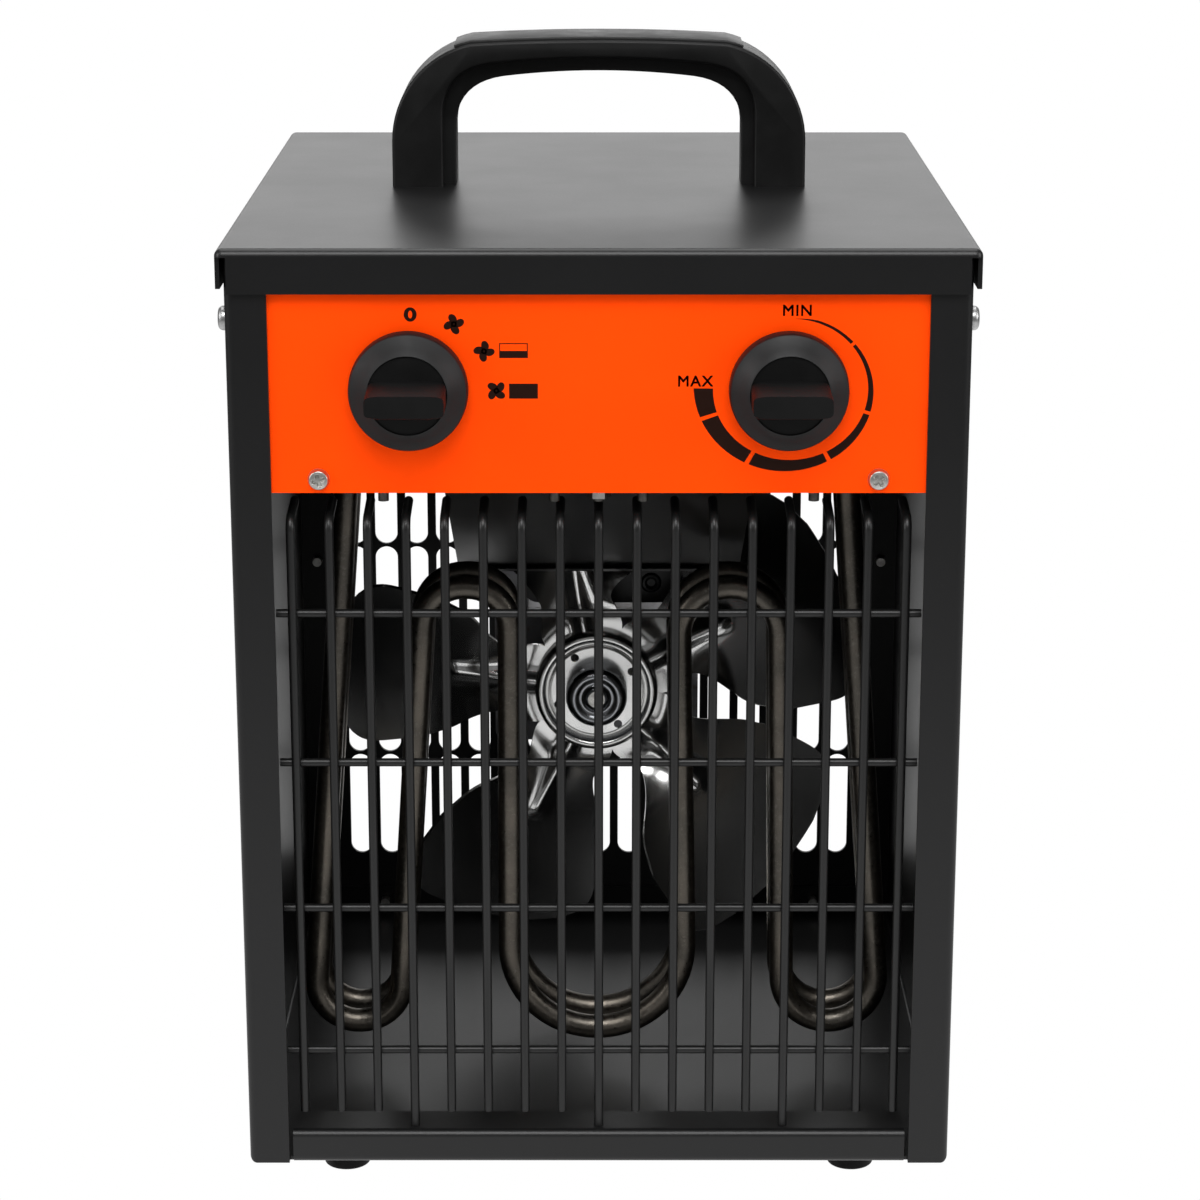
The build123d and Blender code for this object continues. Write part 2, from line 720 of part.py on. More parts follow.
def blade():
    """One blade along +X about the Y axis: an arched sheet, pitched, cut to a rounded outline."""
    chord = 74.0
    rise = 5.0
    bulge = ThreePointArc((0, -chord / 2), (rise, 0), (0, chord / 2))
    back = ThreePointArc((fan_sheet, chord / 2), (rise + fan_sheet, 0), (fan_sheet, -chord / 2))
    section = make_face(Curve() + [bulge, Line((0, chord / 2), (fan_sheet, chord / 2)), back,
                                   Line((fan_sheet, -chord / 2), (0, -chord / 2))])
    arched = prism_x(Pos(-rise, 0) * section, fan_web_radius - 9.0, fan_radius + 4.0)
    arched = Rot(-blade_pitch_angle, 0, 0) * arched
    half = math.radians(blade_span_angle / 2)
    r = fan_radius
    root = 9.0
    neck = fan_web_radius - 7.0
    shoulder = 0.72 * r
    tip = [(shoulder * math.cos(half * s), shoulder * math.sin(half * s)) for s in (-1, 1)]
    outline = make_face(Curve() + [
        Line((neck, -root), (neck + 7, -root - 3)),
        ThreePointArc((neck + 7, -root - 3), (neck + 12, -root - 7), tip[0]),
        ThreePointArc(tip[0], (0.93 * r * math.cos(half * 0.9), -0.93 * r * math.sin(half * 0.9)),
                      (r * math.cos(half * 0.55), -r * math.sin(half * 0.55))),
        ThreePointArc((r * math.cos(half * 0.55), -r * math.sin(half * 0.55)), (r, 0),
                      (r * math.cos(half * 0.55), r * math.sin(half * 0.55))),
        ThreePointArc((r * math.cos(half * 0.55), r * math.sin(half * 0.55)),
                      (0.93 * r * math.cos(half * 0.9), 0.93 * r * math.sin(half * 0.9)), tip[1]),
        ThreePointArc(tip[1], (neck + 12, root + 7), (neck + 7, root + 3)),
        Line((neck + 7, root + 3), (neck, root)),
        Line((neck, root), (neck, -root)),
    ])
    return arched & prism_y(outline, -40.0, 40.0)


def fan_impeller():
    """A pressed disc with a raised ring, carrying the blades on its rim."""
    y = front_y + fan_plane
    seat = y + fan_disc_setback
    disc = rod_y(fan_disc_radius + 1.0, seat, seat + fan_sheet, fan_axis_x, axis_z)
    ring = rod_y(fan_disc_radius + 4.0, y, y + fan_ring_depth, fan_axis_x, axis_z)
    ring -= rod_y(fan_disc_radius, y, y + fan_ring_depth, fan_axis_x, axis_z)
    ring = fillet(ring.faces().sort_by(Axis.Y)[0].edges(), 1.4)
    web = rod_y(fan_web_radius, y + fan_ring_depth - fan_sheet, y + fan_ring_depth, fan_axis_x, axis_z)
    whole = disc + ring + (web - rod_y(fan_disc_radius, y, y + fan_ring_depth, fan_axis_x, axis_z))
    turns = [blade_first_angle + 360.0 / blade_count * k for k in range(blade_count)]
    for turn in turns:
        whole = whole + Pos(fan_axis_x, y + fan_ring_depth - 1.5, axis_z) * Rot(0, -turn, 0) * blade()
    whole -= rod_y(shaft_radius + 0.05, y - 20, y + 30, fan_axis_x, axis_z)
    for turn in (122.0, 30.0, 302.0, 200.0):
        a = math.radians(turn)
        whole -= rod_y(1.3, seat, seat + fan_sheet, fan_axis_x + 12.3 * math.cos(a), axis_z + 12.3 * math.sin(a))
    return whole


def fan_hub():
    """A domed steel boss pressed on the shaft in front of the disc, open at its middle."""
    y = front_y + fan_plane
    seat = y + fan_disc_setback
    dome = rod_y(hub_radius, y - hub_depth, seat, fan_axis_x, axis_z)
    dome = fillet(dome.faces().sort_by(Axis.Y)[0].edges(), hub_depth - 1.5)
    dome -= rod_y(4.0, y - hub_depth, y - hub_depth + 3.0, fan_axis_x, axis_z)
    return dome - rod_y(shaft_radius + 0.05, y - hub_depth, seat, fan_axis_x, axis_z)


def motor_shaft():
    y = front_y + fan_plane
    return rod_y(shaft_radius, y - hub_depth + 0.8, bush_rear_y + 9.0, fan_axis_x, axis_z)


def motor_rotor():
    y0 = front_y + stator_plane
    body = rod_y(rotor_radius, y0, y0 + stator_thickness, fan_axis_x, axis_z)
    return body - rod_y(shaft_radius + 0.05, y0, y0 + stator_thickness, fan_axis_x, axis_z)


def motor_stator():
    """A stack of laminations: a bore for the rotor below and a window for the coil above."""
    y0 = front_y + stator_plane
    y1 = y0 + stator_thickness
    outer = slab((fan_axis_x - 31, fan_axis_x + 31), (y0, y1), (axis_z - 24, axis_z + 48))
    outer = fillet(outer.edges().filter_by(Axis.Y), 3.0)
    window = slab((fan_axis_x - 21, fan_axis_x + 21), (y0, y1), (axis_z + 16, axis_z + 30))
    stack = outer - window - rod_y(rotor_radius + rotor_gap, y0, y1, fan_axis_x, axis_z)
    for x, z in motor_screw_places() + bearing_screw_places():
        stack -= rod_y(2.0 + screw_clearance, y0, y1, x, z)
    return stack


def motor_coil():
    """The winding round the stack's top yoke, on its bobbin."""
    y0 = front_y + stator_plane
    y1 = y0 + stator_thickness
    outer = slab((fan_axis_x - 12, fan_axis_x + 12), (y0 - coil_swell, y1 + coil_swell), (axis_z + 22, axis_z + 56))
    outer = fillet(outer.edges().filter_by(Axis.X), 5.0)
    core = slab((fan_axis_x - 12, fan_axis_x + 12), (y0 - 0.1, y1 + 0.1), (axis_z + 29.9, axis_z + 48.1))
    return outer - core


def motor_screw_places():
    half = motor_screw_spacing / 2
    return [(fan_axis_x + side * half, axis_z + motor_screw_rise) for side in (-1, 1)]


def bearing_screw_places():
    return [(fan_axis_x + side * 22.0, axis_z) for side in (-1, 1)]


def bearing_bridge(front):
    """A bar across the rotor's bore that holds one bearing bush."""
    y0 = front_y + stator_plane
    y1 = y0 + stator_thickness
    seat, way = (y0, -1) if front else (y1, 1)
    flat = sorted((seat, seat + way * 2.5))
    boss = sorted((seat + way * 1.2, seat + way * 9.0))
    bar = slab((fan_axis_x - 28, fan_axis_x + 28), flat, (axis_z - 6, axis_z + 6))
    bar = fillet(bar.edges().filter_by(Axis.Y), 5.0)
    bridge = bar + rod_y(7.0, boss[0], boss[1], fan_axis_x, axis_z)
    bridge -= rod_y(bush_outer + 0.05, flat[0] - 20, flat[1] + 20, fan_axis_x, axis_z)
    for x, z in bearing_screw_places():
        bridge -= rod_y(2.0 + screw_clearance, flat[0], flat[1], x, z)
    return bridge


def bearing_bushes():
    bushes = []
    for y in (bush_front_y, bush_rear_y):
        ring = rod_y(bush_outer, y, y + bush_length, fan_axis_x, axis_z)
        bushes.append(ring - rod_y(shaft_radius + shaft_clearance, y, y + bush_length, fan_axis_x, axis_z))
    return bushes


def bearing_screws():
    y0 = front_y + stator_plane - 2.5
    length = stator_thickness + 5.0 + 4.0
    pieces = []
    for x, z in bearing_screw_places():
        pieces.append(screw_to_front((2.0, 3.4, 2.0), length, x, y0, z))
        nut = hex_nut(6.0, 2.05, 2.4)
        pieces.append(Pos(x, y0 + stator_thickness + 5.0, z) * Rot(-90, 0, 0) * nut)
    return pieces


def motor_bracket():
    """A plate that hangs the motor from under the tray."""
    y1 = front_y + stator_plane
    y0 = y1 - bracket_sheet
    half = motor_screw_spacing / 2 + 7.0
    low = axis_z + motor_screw_rise - 8.0
    plate = slab((fan_axis_x - half, fan_axis_x + half), (y0, y1), (low, tray_z))
    plate = fillet(plate.edges().filter_by(Axis.Y).group_by(Axis.Z)[0], 6.0)
    plate -= slab((fan_axis_x - 12.4, fan_axis_x + 12.4), (y0, y1), (low, axis_z + 56.4))
    flange = slab((fan_axis_x - half, fan_axis_x + half), (y0 - bracket_flange, y0),
                  (tray_z - bracket_sheet, tray_z))
    bracket = plate + flange
    for x, z in motor_screw_places():
        bracket -= rod_y(2.0 + screw_clearance, y0, y1, x, z)
    for x, y in bracket_screw_places():
        bracket -= rod_z(small_screw[0] + screw_clearance, tray_z - bracket_sheet, tray_z, x, y)
    return bracket


def motor_screws():
    y0 = front_y + stator_plane - bracket_sheet
    pieces = []
    for x, z in motor_screw_places():
        pieces.append(screw_to_front((2.0, 3.4, 2.0), stator_thickness + bracket_sheet + 4.0, x, y0, z))
        nut = hex_nut(6.0, 2.05, 2.4)
        pieces.append(Pos(x, front_y + stator_plane + stator_thickness, z) * Rot(-90, 0, 0) * nut)
    return pieces


def bracket_screws():
    return [Pos(x, y, tray_top) * screw(small_screw, tray_sheet + bracket_sheet + 2.5)
            for x, y in bracket_screw_places()]


# Rear

def rear_screw_places():
    side_x = inner_half - rear_lip / 2
    low = base_z + sheet + rear_lip / 2 - 0.6
    places = [(side * x, low) for side in (-1, 1) for x in (side_x, 69.5)]
    places += [(side * side_x, base_z + z) for side in (-1, 1) for z in (120.0, 232.0)]
    return places


def rear_frame():
    """An angle welded round the inside of the body, with a lip that the inlet plate screws to."""
    top = wall_top - fit_gap
    z0 = base_z + sheet
    lip = slab((-inner_half, inner_half), (inlet_y - sheet, inlet_y), (z0, top))
    lip -= slab((-inner_half + rear_lip, inner_half - rear_lip), (inlet_y - sheet, inlet_y),
                (z0 + rear_lip - 1.0, top))
    legs = slab((-inner_half, inner_half), (inlet_y - sheet, inlet_y + rear_leg), (z0, top))
    legs -= slab((-inner_half + sheet, inner_half - sheet), (inlet_y - sheet, inlet_y + rear_leg),
                 (z0 + sheet, top))
    frame = lip + legs
    frame = frame & prism_y(fillet(
        polygon((-inner_half, z0), (inner_half, z0), (inner_half, top), (-inner_half, top))
        .vertices().group_by(Axis.Y)[0], bend_radius - sheet), inlet_y - sheet, inlet_y + rear_leg)
    for x, z in rear_screw_places():
        frame -= rod_y(small_screw[0] + screw_clearance, inlet_y - sheet, inlet_y, x, z)
    for x, y in foot_places():
        frame -= rod_z(foot_screw[1] + 0.4, z0, z0 + sheet, x, y)
    return frame


def slot_places():
    first_x = -(slot_columns - 1) / 2 * slot_pitch_x
    first_z = base_z + slot_bottom + slot_length / 2
    return [(first_x + c * slot_pitch_x, first_z + r * slot_pitch_z)
            for c in range(slot_columns) for r in range(slot_rows)]


def rear_plate():
    half = inner_half - sheet - fit_gap
    z0 = base_z + sheet * 2 + rear_plate_margin - 1.0
    top = wall_top - fit_gap
    face = polygon((-half, z0), (half, z0), (half, top), (-half, top))
    holes = Sketch() + [Pos(x, z) * Rot(0, 0, 90) * SlotOverall(slot_length, slot_width) for x, z in slot_places()]
    plate = prism_y(face - holes, inlet_y, inlet_y + sheet)
    for x, z in rear_screw_places() + [(side * tray_screw_x, tray_screw_z) for side in (-1, 1)]:
        plate -= rod_y(small_screw[0] + screw_clearance, inlet_y, inlet_y + sheet, x, z)
    plate -= rod_y(gland_radius + screw_clearance, inlet_y, inlet_y + sheet, gland_x, gland_z)
    return plate


def rear_plate_screws():
    seat = inlet_y + sheet
    places = rear_screw_places() + [(side * tray_screw_x, tray_screw_z) for side in (-1, 1)]
    return [screw_to_back(small_screw, 5.0, x, seat, z) for x, z in places]


def cable_gland():
    """A threaded cable inlet in the rear plate, with a hexagon collar outside."""
    seat = inlet_y + sheet
    body = rod_y(gland_radius, inlet_y - 9.0, seat, gland_x, gland_z)
    collar = Pos(gland_x, seat, gland_z) * Rot(-90, 0, 0) * extrude(
        RegularPolygon(9.0, 6, major_radius=False), 5.0)
    dome = rod_y(8.0, seat + 5.0, seat + 16.0, gland_x, gland_z)
    dome = fillet(dome.faces().sort_by(Axis.Y)[-1].edges(), 3.0)
    return body + collar + dome - rod_y(gland_bore_radius, inlet_y - 9.0, seat + 16.0, gland_x, gland_z)


def gland_locknut():
    nut = hex_nut(17.0, gland_radius + 0.05, 3.5)
    return [Pos(gland_x, inlet_y - 3.5, gland_z) * Rot(-90, 0, 0) * nut]


# Smaller sizes and places that several pieces share
deflector_sheet = 1.0
terminal_setback = 10.0
terminal_pitch = 11.5
terminal_base = 3.0
clip_sheet = 1.0
bushing_length = 5.5
spindle_depth = 12.0
bush_radius = 5.0
bush_collar = 2.0
bush_rise = 8.0
bush_outer = 4.5
bush_length = 7.0
bracket_sheet = 1.5
bracket_flange = 14.0
coil_swell = 7.0
wire_y = front_y + wire_plane
side_screw_y = front_y + 11.0
side_screw_z = wall_top - 18.7
panel_screw_x = 72.0
panel_screw_z = panel_z + 3.6
tray_screw_x = 60.0
tray_screw_z = tray_z + 4.6
cover_screw_x = half_width - post_width / 2
cover_screw_z = wall_top - 5.0
handle_mid_y = front_y + handle_setback + handle_depth / 2
gland_z = base_z + gland_height
bush_front_y = front_y + stator_plane - 8.5
bush_rear_y = front_y + stator_plane + stator_thickness + 1.5


PARTS = {
    "body_shell": body_shell,
    "top_cover": top_cover,
    "cover_screws": cover_screws,
    "rubber_feet": rubber_feet,
    "foot_screws": foot_screws,
    "handle": handle,
    "handle_screws": handle_screws,
    "control_panel": control_panel,
    "panel_screws": panel_screws,
    "side_screws": side_screws,
    "compartment_tray": compartment_tray,
    "tray_screws": tray_screws,
    "earth_nut": earth_nut,
    "terminal_block": terminal_block,
    "rotary_switch": rotary_switch,
    "thermostat": thermostat,
    "gear_clips": gear_clips,
    "bushing_nuts": bushing_nuts,
    "selector_spindle": lambda: spindle(-knob_x),
    "selector_knob": lambda: knob(-knob_x),
    "thermostat_spindle": lambda: spindle(knob_x),
    "thermostat_knob": lambda: knob(knob_x),
    "thermal_cutout": thermal_cutout,
    "internal_leads": internal_leads,
    "heat_deflector": heat_deflector,
    "front_grille": front_grille,
    "heating_element_front": lambda: heating_element(0),
    "heating_element_rear": lambda: heating_element(1),
    "element_bushes": element_bushes,
    "element_nuts": element_nuts,
    "fan_impeller": fan_impeller,
    "fan_hub": fan_hub,
    "motor_shaft": motor_shaft,
    "motor_rotor": motor_rotor,
    "motor_stator": motor_stator,
    "motor_coil": motor_coil,
    "front_bearing_bridge": lambda: bearing_bridge(True),
    "rear_bearing_bridge": lambda: bearing_bridge(False),
    "bearing_bushes": bearing_bushes,
    "bearing_screws": bearing_screws,
    "motor_bracket": motor_bracket,
    "motor_screws": motor_screws,
    "bracket_screws": bracket_screws,
    "rear_frame": rear_frame,
    "rear_plate": rear_plate,
    "rear_plate_screws": rear_plate_screws,
    "cable_gland": cable_gland,
    "gland_locknut": gland_locknut,
}

for name, make in PARTS.items():
    shape = make()
    if isinstance(shape, list):
        shape = Compound(children=[piece if isinstance(piece, Solid) else piece.solids()[0] for piece in shape])
    export_step(shape, f"parts/{name}.step")
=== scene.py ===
import json
import math

import bmesh
import bpy
from mathutils import Matrix, Vector


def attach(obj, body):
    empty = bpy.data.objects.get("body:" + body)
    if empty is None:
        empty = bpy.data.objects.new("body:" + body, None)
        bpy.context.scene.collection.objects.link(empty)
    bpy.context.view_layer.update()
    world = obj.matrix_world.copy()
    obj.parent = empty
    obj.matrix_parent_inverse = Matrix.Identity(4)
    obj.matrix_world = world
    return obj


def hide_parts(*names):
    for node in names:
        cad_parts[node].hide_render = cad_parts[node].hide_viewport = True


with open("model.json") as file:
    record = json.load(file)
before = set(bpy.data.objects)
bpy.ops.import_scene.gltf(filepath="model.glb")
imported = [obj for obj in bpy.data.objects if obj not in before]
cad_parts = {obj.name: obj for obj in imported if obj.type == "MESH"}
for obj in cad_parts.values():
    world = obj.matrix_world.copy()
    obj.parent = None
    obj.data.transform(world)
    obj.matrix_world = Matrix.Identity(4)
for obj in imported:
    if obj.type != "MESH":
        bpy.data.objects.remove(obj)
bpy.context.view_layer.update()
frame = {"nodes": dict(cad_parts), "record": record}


# Places that the dressed pieces share with the solids, in metres
MM = 0.001
FRONT = -97.95 * MM
BASE = 9.0 * MM
PANEL_FACE = FRONT + 1.0 * MM
AXIS = (-0.7 * MM, FRONT + 114.5 * MM, BASE + 98.4 * MM)
KNOB_Z = BASE + 215.0 * MM
KNOB_X = 48.5 * MM
COVER_TOP = BASE + 251.4 * MM

# The panel screws' place, in millimetres from the middle and from the body's bottom
PANEL_SCREW_X = 72.0
PANEL_SCREW_Z = 191.3


# Shader values. Sums and products of Value objects add the maths nodes that they need.

class Value:
    def __init__(self, skin, socket):
        self.skin = skin
        self.socket = socket

    def math(self, operation, *others):
        node = self.skin.tree.nodes.new("ShaderNodeMath")
        node.operation = operation
        for place, item in enumerate((self,) + others):
            self.skin.feed(node.inputs[place], item)
        return Value(self.skin, node.outputs[0])

    def __add__(self, other):
        return self.math("ADD", other)

    def __mul__(self, other):
        return self.math("MULTIPLY", other)

    def ramp(self, low, high, out_low=0.0, out_high=1.0):
        node = self.skin.tree.nodes.new("ShaderNodeMapRange")
        node.interpolation_type = "SMOOTHSTEP"
        self.skin.feed(node.inputs[0], self)
        for place, number in enumerate((low, high, out_low, out_high)):
            node.inputs[place + 1].default_value = number
        return Value(self.skin, node.outputs[0])


class Skin:
    """A material whose nodes are added one by one."""

    def __init__(self, name, color, roughness, metallic=0.0, coat=0.0, specular=0.5):
        self.material = bpy.data.materials.new(name)
        self.material.use_nodes = True
        self.tree = self.material.node_tree
        self.shader = self.tree.nodes["Principled BSDF"]
        for key, setting in (("Base Color", tuple(color) + (1.0,)), ("Roughness", roughness),
                             ("Metallic", metallic), ("Coat Weight", coat), ("Coat Roughness", 0.1),
                             ("Specular IOR Level", specular)):
            self.shader.inputs[key].default_value = setting
        self.place = self.add("ShaderNodeTexCoord", out="Object")

    def feed(self, socket, item):
        if isinstance(item, Value):
            self.tree.links.new(item.socket, socket)
        else:
            socket.default_value = item

    def add(self, kind, inputs=None, out=0, **settings):
        node = self.tree.nodes.new(kind)
        for key, setting in settings.items():
            setattr(node, key, setting)
        for key, item in (inputs or {}).items():
            self.feed(node.inputs[key], item)
        return Value(self, node.outputs[out])

    def noise(self, size, detail=2.0, roughness=0.5, stretch=(1, 1, 1)):
        """Noise from 0 to 1 whose features are about this many millimetres across."""
        where = self.add("ShaderNodeMapping", {"Vector": self.place, "Scale": stretch})
        return self.add("ShaderNodeTexNoise", {"Vector": where, "Scale": 1.0 / (size * MM),
                                               "Detail": detail, "Roughness": roughness})

    def cells(self, size):
        """Distance to the nearest of scattered points, which are about this many millimetres apart."""
        return self.add("ShaderNodeTexVoronoi", {"Vector": self.place, "Scale": 1.0 / (size * MM)})

    def mix(self, factor, first, second):
        """From the first colour at factor 0 to the second at 1."""
        node = self.tree.nodes.new("ShaderNodeMix")
        node.data_type = "RGBA"
        self.feed(node.inputs[0], factor)
        for place, item in ((6, first), (7, second)):
            self.feed(node.inputs[place], item if isinstance(item, Value) else tuple(item) + (1.0,))
        return Value(self, node.outputs[2])

    def place_axis(self, axis):
        """The place along one axis: 0 is X, 1 is Y and 2 is Z."""
        split = self.tree.nodes.new("ShaderNodeSeparateXYZ")
        self.feed(split.inputs[0], self.place)
        return Value(self, split.outputs[axis])

    def set(self, name, item):
        self.feed(self.shader.inputs[name], item)
        return self

    def bump(self, height, depth):
        """Bump of this many millimetres from a height between 0 and 1."""
        normal = self.add("ShaderNodeBump", {"Height": height, "Distance": depth * MM, "Strength": 1.0})
        return self.set("Normal", normal)


def powder_coat(name, color, roughness, specular, worn, grain=0.7):
    """Baked powder: fine orange peel, slow changes in sheen, and a few specks of dust."""
    skin = Skin(name, color, roughness, specular=specular)
    fine = skin.noise(grain, 3.0, 0.6)
    slow = skin.noise(28.0, 3.0, 0.6)
    speck = skin.cells(1.9).ramp(0.0, 0.16, 1.0, 0.0) * skin.noise(9.0, 2.0).ramp(0.55, 0.7)
    lighter = [min(1.0, c * 1.2 + 0.001) for c in color]
    skin.set("Base Color", skin.mix(speck * 0.25, skin.mix(slow * 0.3 + fine * 0.2, color, lighter), worn))
    skin.set("Roughness", slow.ramp(0.2, 0.8, roughness - 0.01, roughness + 0.015) + fine * 0.05)
    return skin.bump(fine * 0.7 + skin.noise(grain * 3, 2.0) * 0.3, 0.012)


def moulded_plastic(name, color, roughness, grain=0.35, depth=0.008, specular=0.45):
    """Moulded plastic: a fine grain, with patches that handling has made lighter or shinier."""
    skin = Skin(name, color, roughness, specular=specular)
    fine = skin.noise(grain, 2.0, 0.7)
    handled = skin.noise(14.0, 4.0, 0.6)
    skin.set("Base Color", skin.mix(handled * 0.6, color, [c * 1.5 + 0.001 for c in color]))
    skin.set("Roughness", handled.ramp(0.3, 0.7, roughness - 0.05, roughness + 0.08))
    return skin.bump(fine, depth)


def plated_steel(name, color, roughness):
    """Plate or bare metal: soft mottling, fine scratches and duller patches."""
    skin = Skin(name, color, roughness, metallic=1.0)
    patchy = skin.noise(1.8, 4.0, 0.6)
    scratch = skin.noise(0.5, 2.0, 0.6, (1.0, 9.0, 1.0))
    skin.set("Base Color", skin.mix(patchy.ramp(0.35, 0.7), color, [c * 0.72 for c in color]))
    skin.set("Roughness", patchy.ramp(0.2, 0.8, roughness - 0.06, roughness + 0.12) + scratch * 0.08)
    return skin.bump(scratch * 0.5 + patchy * 0.5, 0.006)


def element_sheath():
    """Heat-darkened tube: broad brown-grey patches under fine lighter flecks, with a satin face."""
    skin = Skin("element_sheath", (0.1, 0.085, 0.07), 0.36, metallic=1.0)
    band = skin.noise(17.0, 3.0, 0.55)
    fine = skin.noise(1.1, 4.0, 0.65)
    warm = skin.mix(band.ramp(0.35, 0.65), (0.1, 0.092, 0.08), (0.16, 0.142, 0.12))
    skin.set("Base Color", skin.mix(fine.ramp(0.5, 0.75) * 0.5, warm, (0.26, 0.24, 0.21)))
    skin.set("Roughness", fine.ramp(0.3, 0.7, 0.27, 0.44))
    return skin.bump(fine, 0.01)


def bright_sheet(name, color, roughness):
    """Bright metal: faint lines along Z from rolling or turning, and slow smears."""
    skin = Skin(name, color, roughness, metallic=1.0)
    lines = skin.noise(0.9, 3.0, 0.6, (1.0, 1.0, 0.06))
    smear = skin.noise(16.0, 2.0, 0.45)
    skin.set("Base Color", skin.mix(smear.ramp(0.3, 0.8), color, [c * 0.85 for c in color]))
    skin.set("Roughness", smear.ramp(0.1, 0.9, roughness - 0.03, roughness + 0.06) + lines * 0.03)
    return skin.bump(lines, 0.002)


def rubber():
    """Matt rubber with dust in patches."""
    skin = Skin("foot_rubber", (0.006, 0.006, 0.006), 0.62, specular=0.12)
    fine = skin.noise(0.5, 3.0, 0.7)
    dust = skin.noise(5.0, 4.0, 0.65).ramp(0.45, 0.75)
    skin.set("Base Color", skin.mix(dust * 0.4, (0.005, 0.005, 0.005), (0.018, 0.017, 0.016)))
    skin.set("Roughness", dust.ramp(0.0, 1.0, 0.55, 0.75))
    return skin.bump(fine, 0.03)


def laminations():
    """Sheet stack: the edges of half-millimetre sheets, with a little rust."""
    skin = Skin("laminations", (0.2, 0.2, 0.21), 0.45, metallic=0.8)
    edge = (skin.place_axis(1) * (2 * math.pi / (0.5 * MM))).math("SINE")
    rust = skin.noise(3.0, 4.0, 0.6).ramp(0.5, 0.75)
    skin.set("Base Color", skin.mix(rust * 0.5, (0.2, 0.2, 0.21), (0.16, 0.1, 0.06)))
    skin.set("Roughness", rust.ramp(0.0, 1.0, 0.4, 0.6))
    return skin.bump(edge * 0.5 + rust * 0.3, 0.03)


def coil_tape():
    """Varnished amber tape whose turns follow each other up the coil."""
    skin = Skin("coil_tape", (0.5, 0.3, 0.06), 0.35, coat=0.4)
    turn = (skin.place_axis(2) * (2 * math.pi / (1.9 * MM))).math("SINE")
    blotch = skin.noise(3.0, 4.0, 0.6)
    skin.set("Base Color", skin.mix(blotch, (0.5, 0.3, 0.06), (0.3, 0.15, 0.03)))
    skin.set("Roughness", blotch.ramp(0.3, 0.7, 0.3, 0.5))
    return skin.bump(turn * 0.4 + blotch * 0.3, 0.12)


def ink(name, color):
    """Screen printed ink, slightly uneven in colour and sheen."""
    skin = Skin(name, color, 0.5, specular=0.12)
    grain = skin.noise(0.3, 3.0, 0.7)
    skin.set("Base Color", skin.mix(grain * 0.5, color, [c * 1.6 for c in color]))
    skin.set("Roughness", grain.ramp(0.3, 0.7, 0.36, 0.52))
    return skin.bump(grain, 0.004)


BLACK = (0.0028, 0.0028, 0.003)
skins = {
    "housing_paint": powder_coat("housing_paint", BLACK, 0.34, specular=0.42, worn=(0.05, 0.05, 0.05)),
    "orange_paint": powder_coat("orange_paint", (1.0, 0.058, 0.0), 0.5, specular=0.04,
                                worn=(1.0, 0.12, 0.02)),
    "interior_steel": powder_coat("interior_steel", (0.003, 0.003, 0.003), 0.3, specular=0.35,
                                  worn=(0.03, 0.03, 0.03)),
    "wire_coat": powder_coat("wire_coat", (0.006, 0.006, 0.006), 0.34, specular=0.4,
                             worn=(0.04, 0.04, 0.04), grain=0.4),
    "zinc_steel": plated_steel("zinc_steel", (0.62, 0.61, 0.58), 0.28),
    "black_screw": plated_steel("black_screw", (0.5, 0.5, 0.5), 0.32),
    "handle_plastic": moulded_plastic("handle_plastic", (0.0025, 0.0025, 0.0025), 0.42, specular=0.25),
    "knob_plastic": moulded_plastic("knob_plastic", (0.004, 0.004, 0.0042), 0.5, 0.25, 0.005, specular=0.3),
    "switch_plastic": moulded_plastic("switch_plastic", (0.62, 0.58, 0.5), 0.45),
    "foot_rubber": rubber(),
    "element_sheath": element_sheath(),
    "fan_steel": bright_sheet("fan_steel", (0.86, 0.86, 0.85), 0.15),
    "hub_steel": bright_sheet("hub_steel", (0.36, 0.37, 0.39), 0.16),
    "lamination": laminations(),
    "coil_tape": coil_tape(),
    "bronze": plated_steel("bronze", (0.55, 0.36, 0.14), 0.4),
    "lead_red": moulded_plastic("lead_red", (0.4, 0.03, 0.02), 0.4),
    "gland_plastic": moulded_plastic("gland_plastic", (0.014, 0.014, 0.014), 0.45),
}
# Painted shade: the screws under the compartment get a darker copy of the plate, for the shade that the
# compartment casts on them
shaded_plate_copy = plated_steel("shaded_plate_copy", (0.16, 0.155, 0.145), 0.42)
for entry in frame["record"]["subparts"]:
    solid = frame["nodes"][entry["node"]]
    solid.data.materials.clear()
    skin = shaded_plate_copy if entry["node"] == "tray_screws" else skins[entry["material_slot"]]
    solid.data.materials.append(skin.material)


# Mesh pieces

def add_piece(name, mesh, slot, body="housing", smooth=True, sharp=35.0, skin=None):
    """Turns a bmesh into an object that rides on a body."""
    bmesh.ops.recalc_face_normals(mesh, faces=mesh.faces)
    data = bpy.data.meshes.new(name)
    mesh.to_mesh(data)
    mesh.free()
    piece = bpy.data.objects.new(name, data)
    bpy.context.scene.collection.objects.link(piece)
    data.materials.append((skin or skins[slot]).material)
    if smooth:
        data.polygons.foreach_set("use_smooth", [True] * len(data.polygons))
        data.set_sharp_from_angle(angle=math.radians(sharp))
    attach(piece, body)
    return piece


def lathe(mesh, profile, steps=96):
    """Spins (radius, depth) points in millimetres about the Y axis through the origin."""
    first = [mesh.verts.new((r * MM, y * MM, 0.0)) for r, y in profile]
    edges = [mesh.edges.new(pair) for pair in zip(first, first[1:])]
    bmesh.ops.spin(mesh, geom=first + edges, cent=(0, 0, 0), axis=(0, 1, 0), angle=math.tau, steps=steps,
                   use_merge=True, use_duplicate=False)
    bmesh.ops.remove_doubles(mesh, verts=mesh.verts, dist=1e-7)


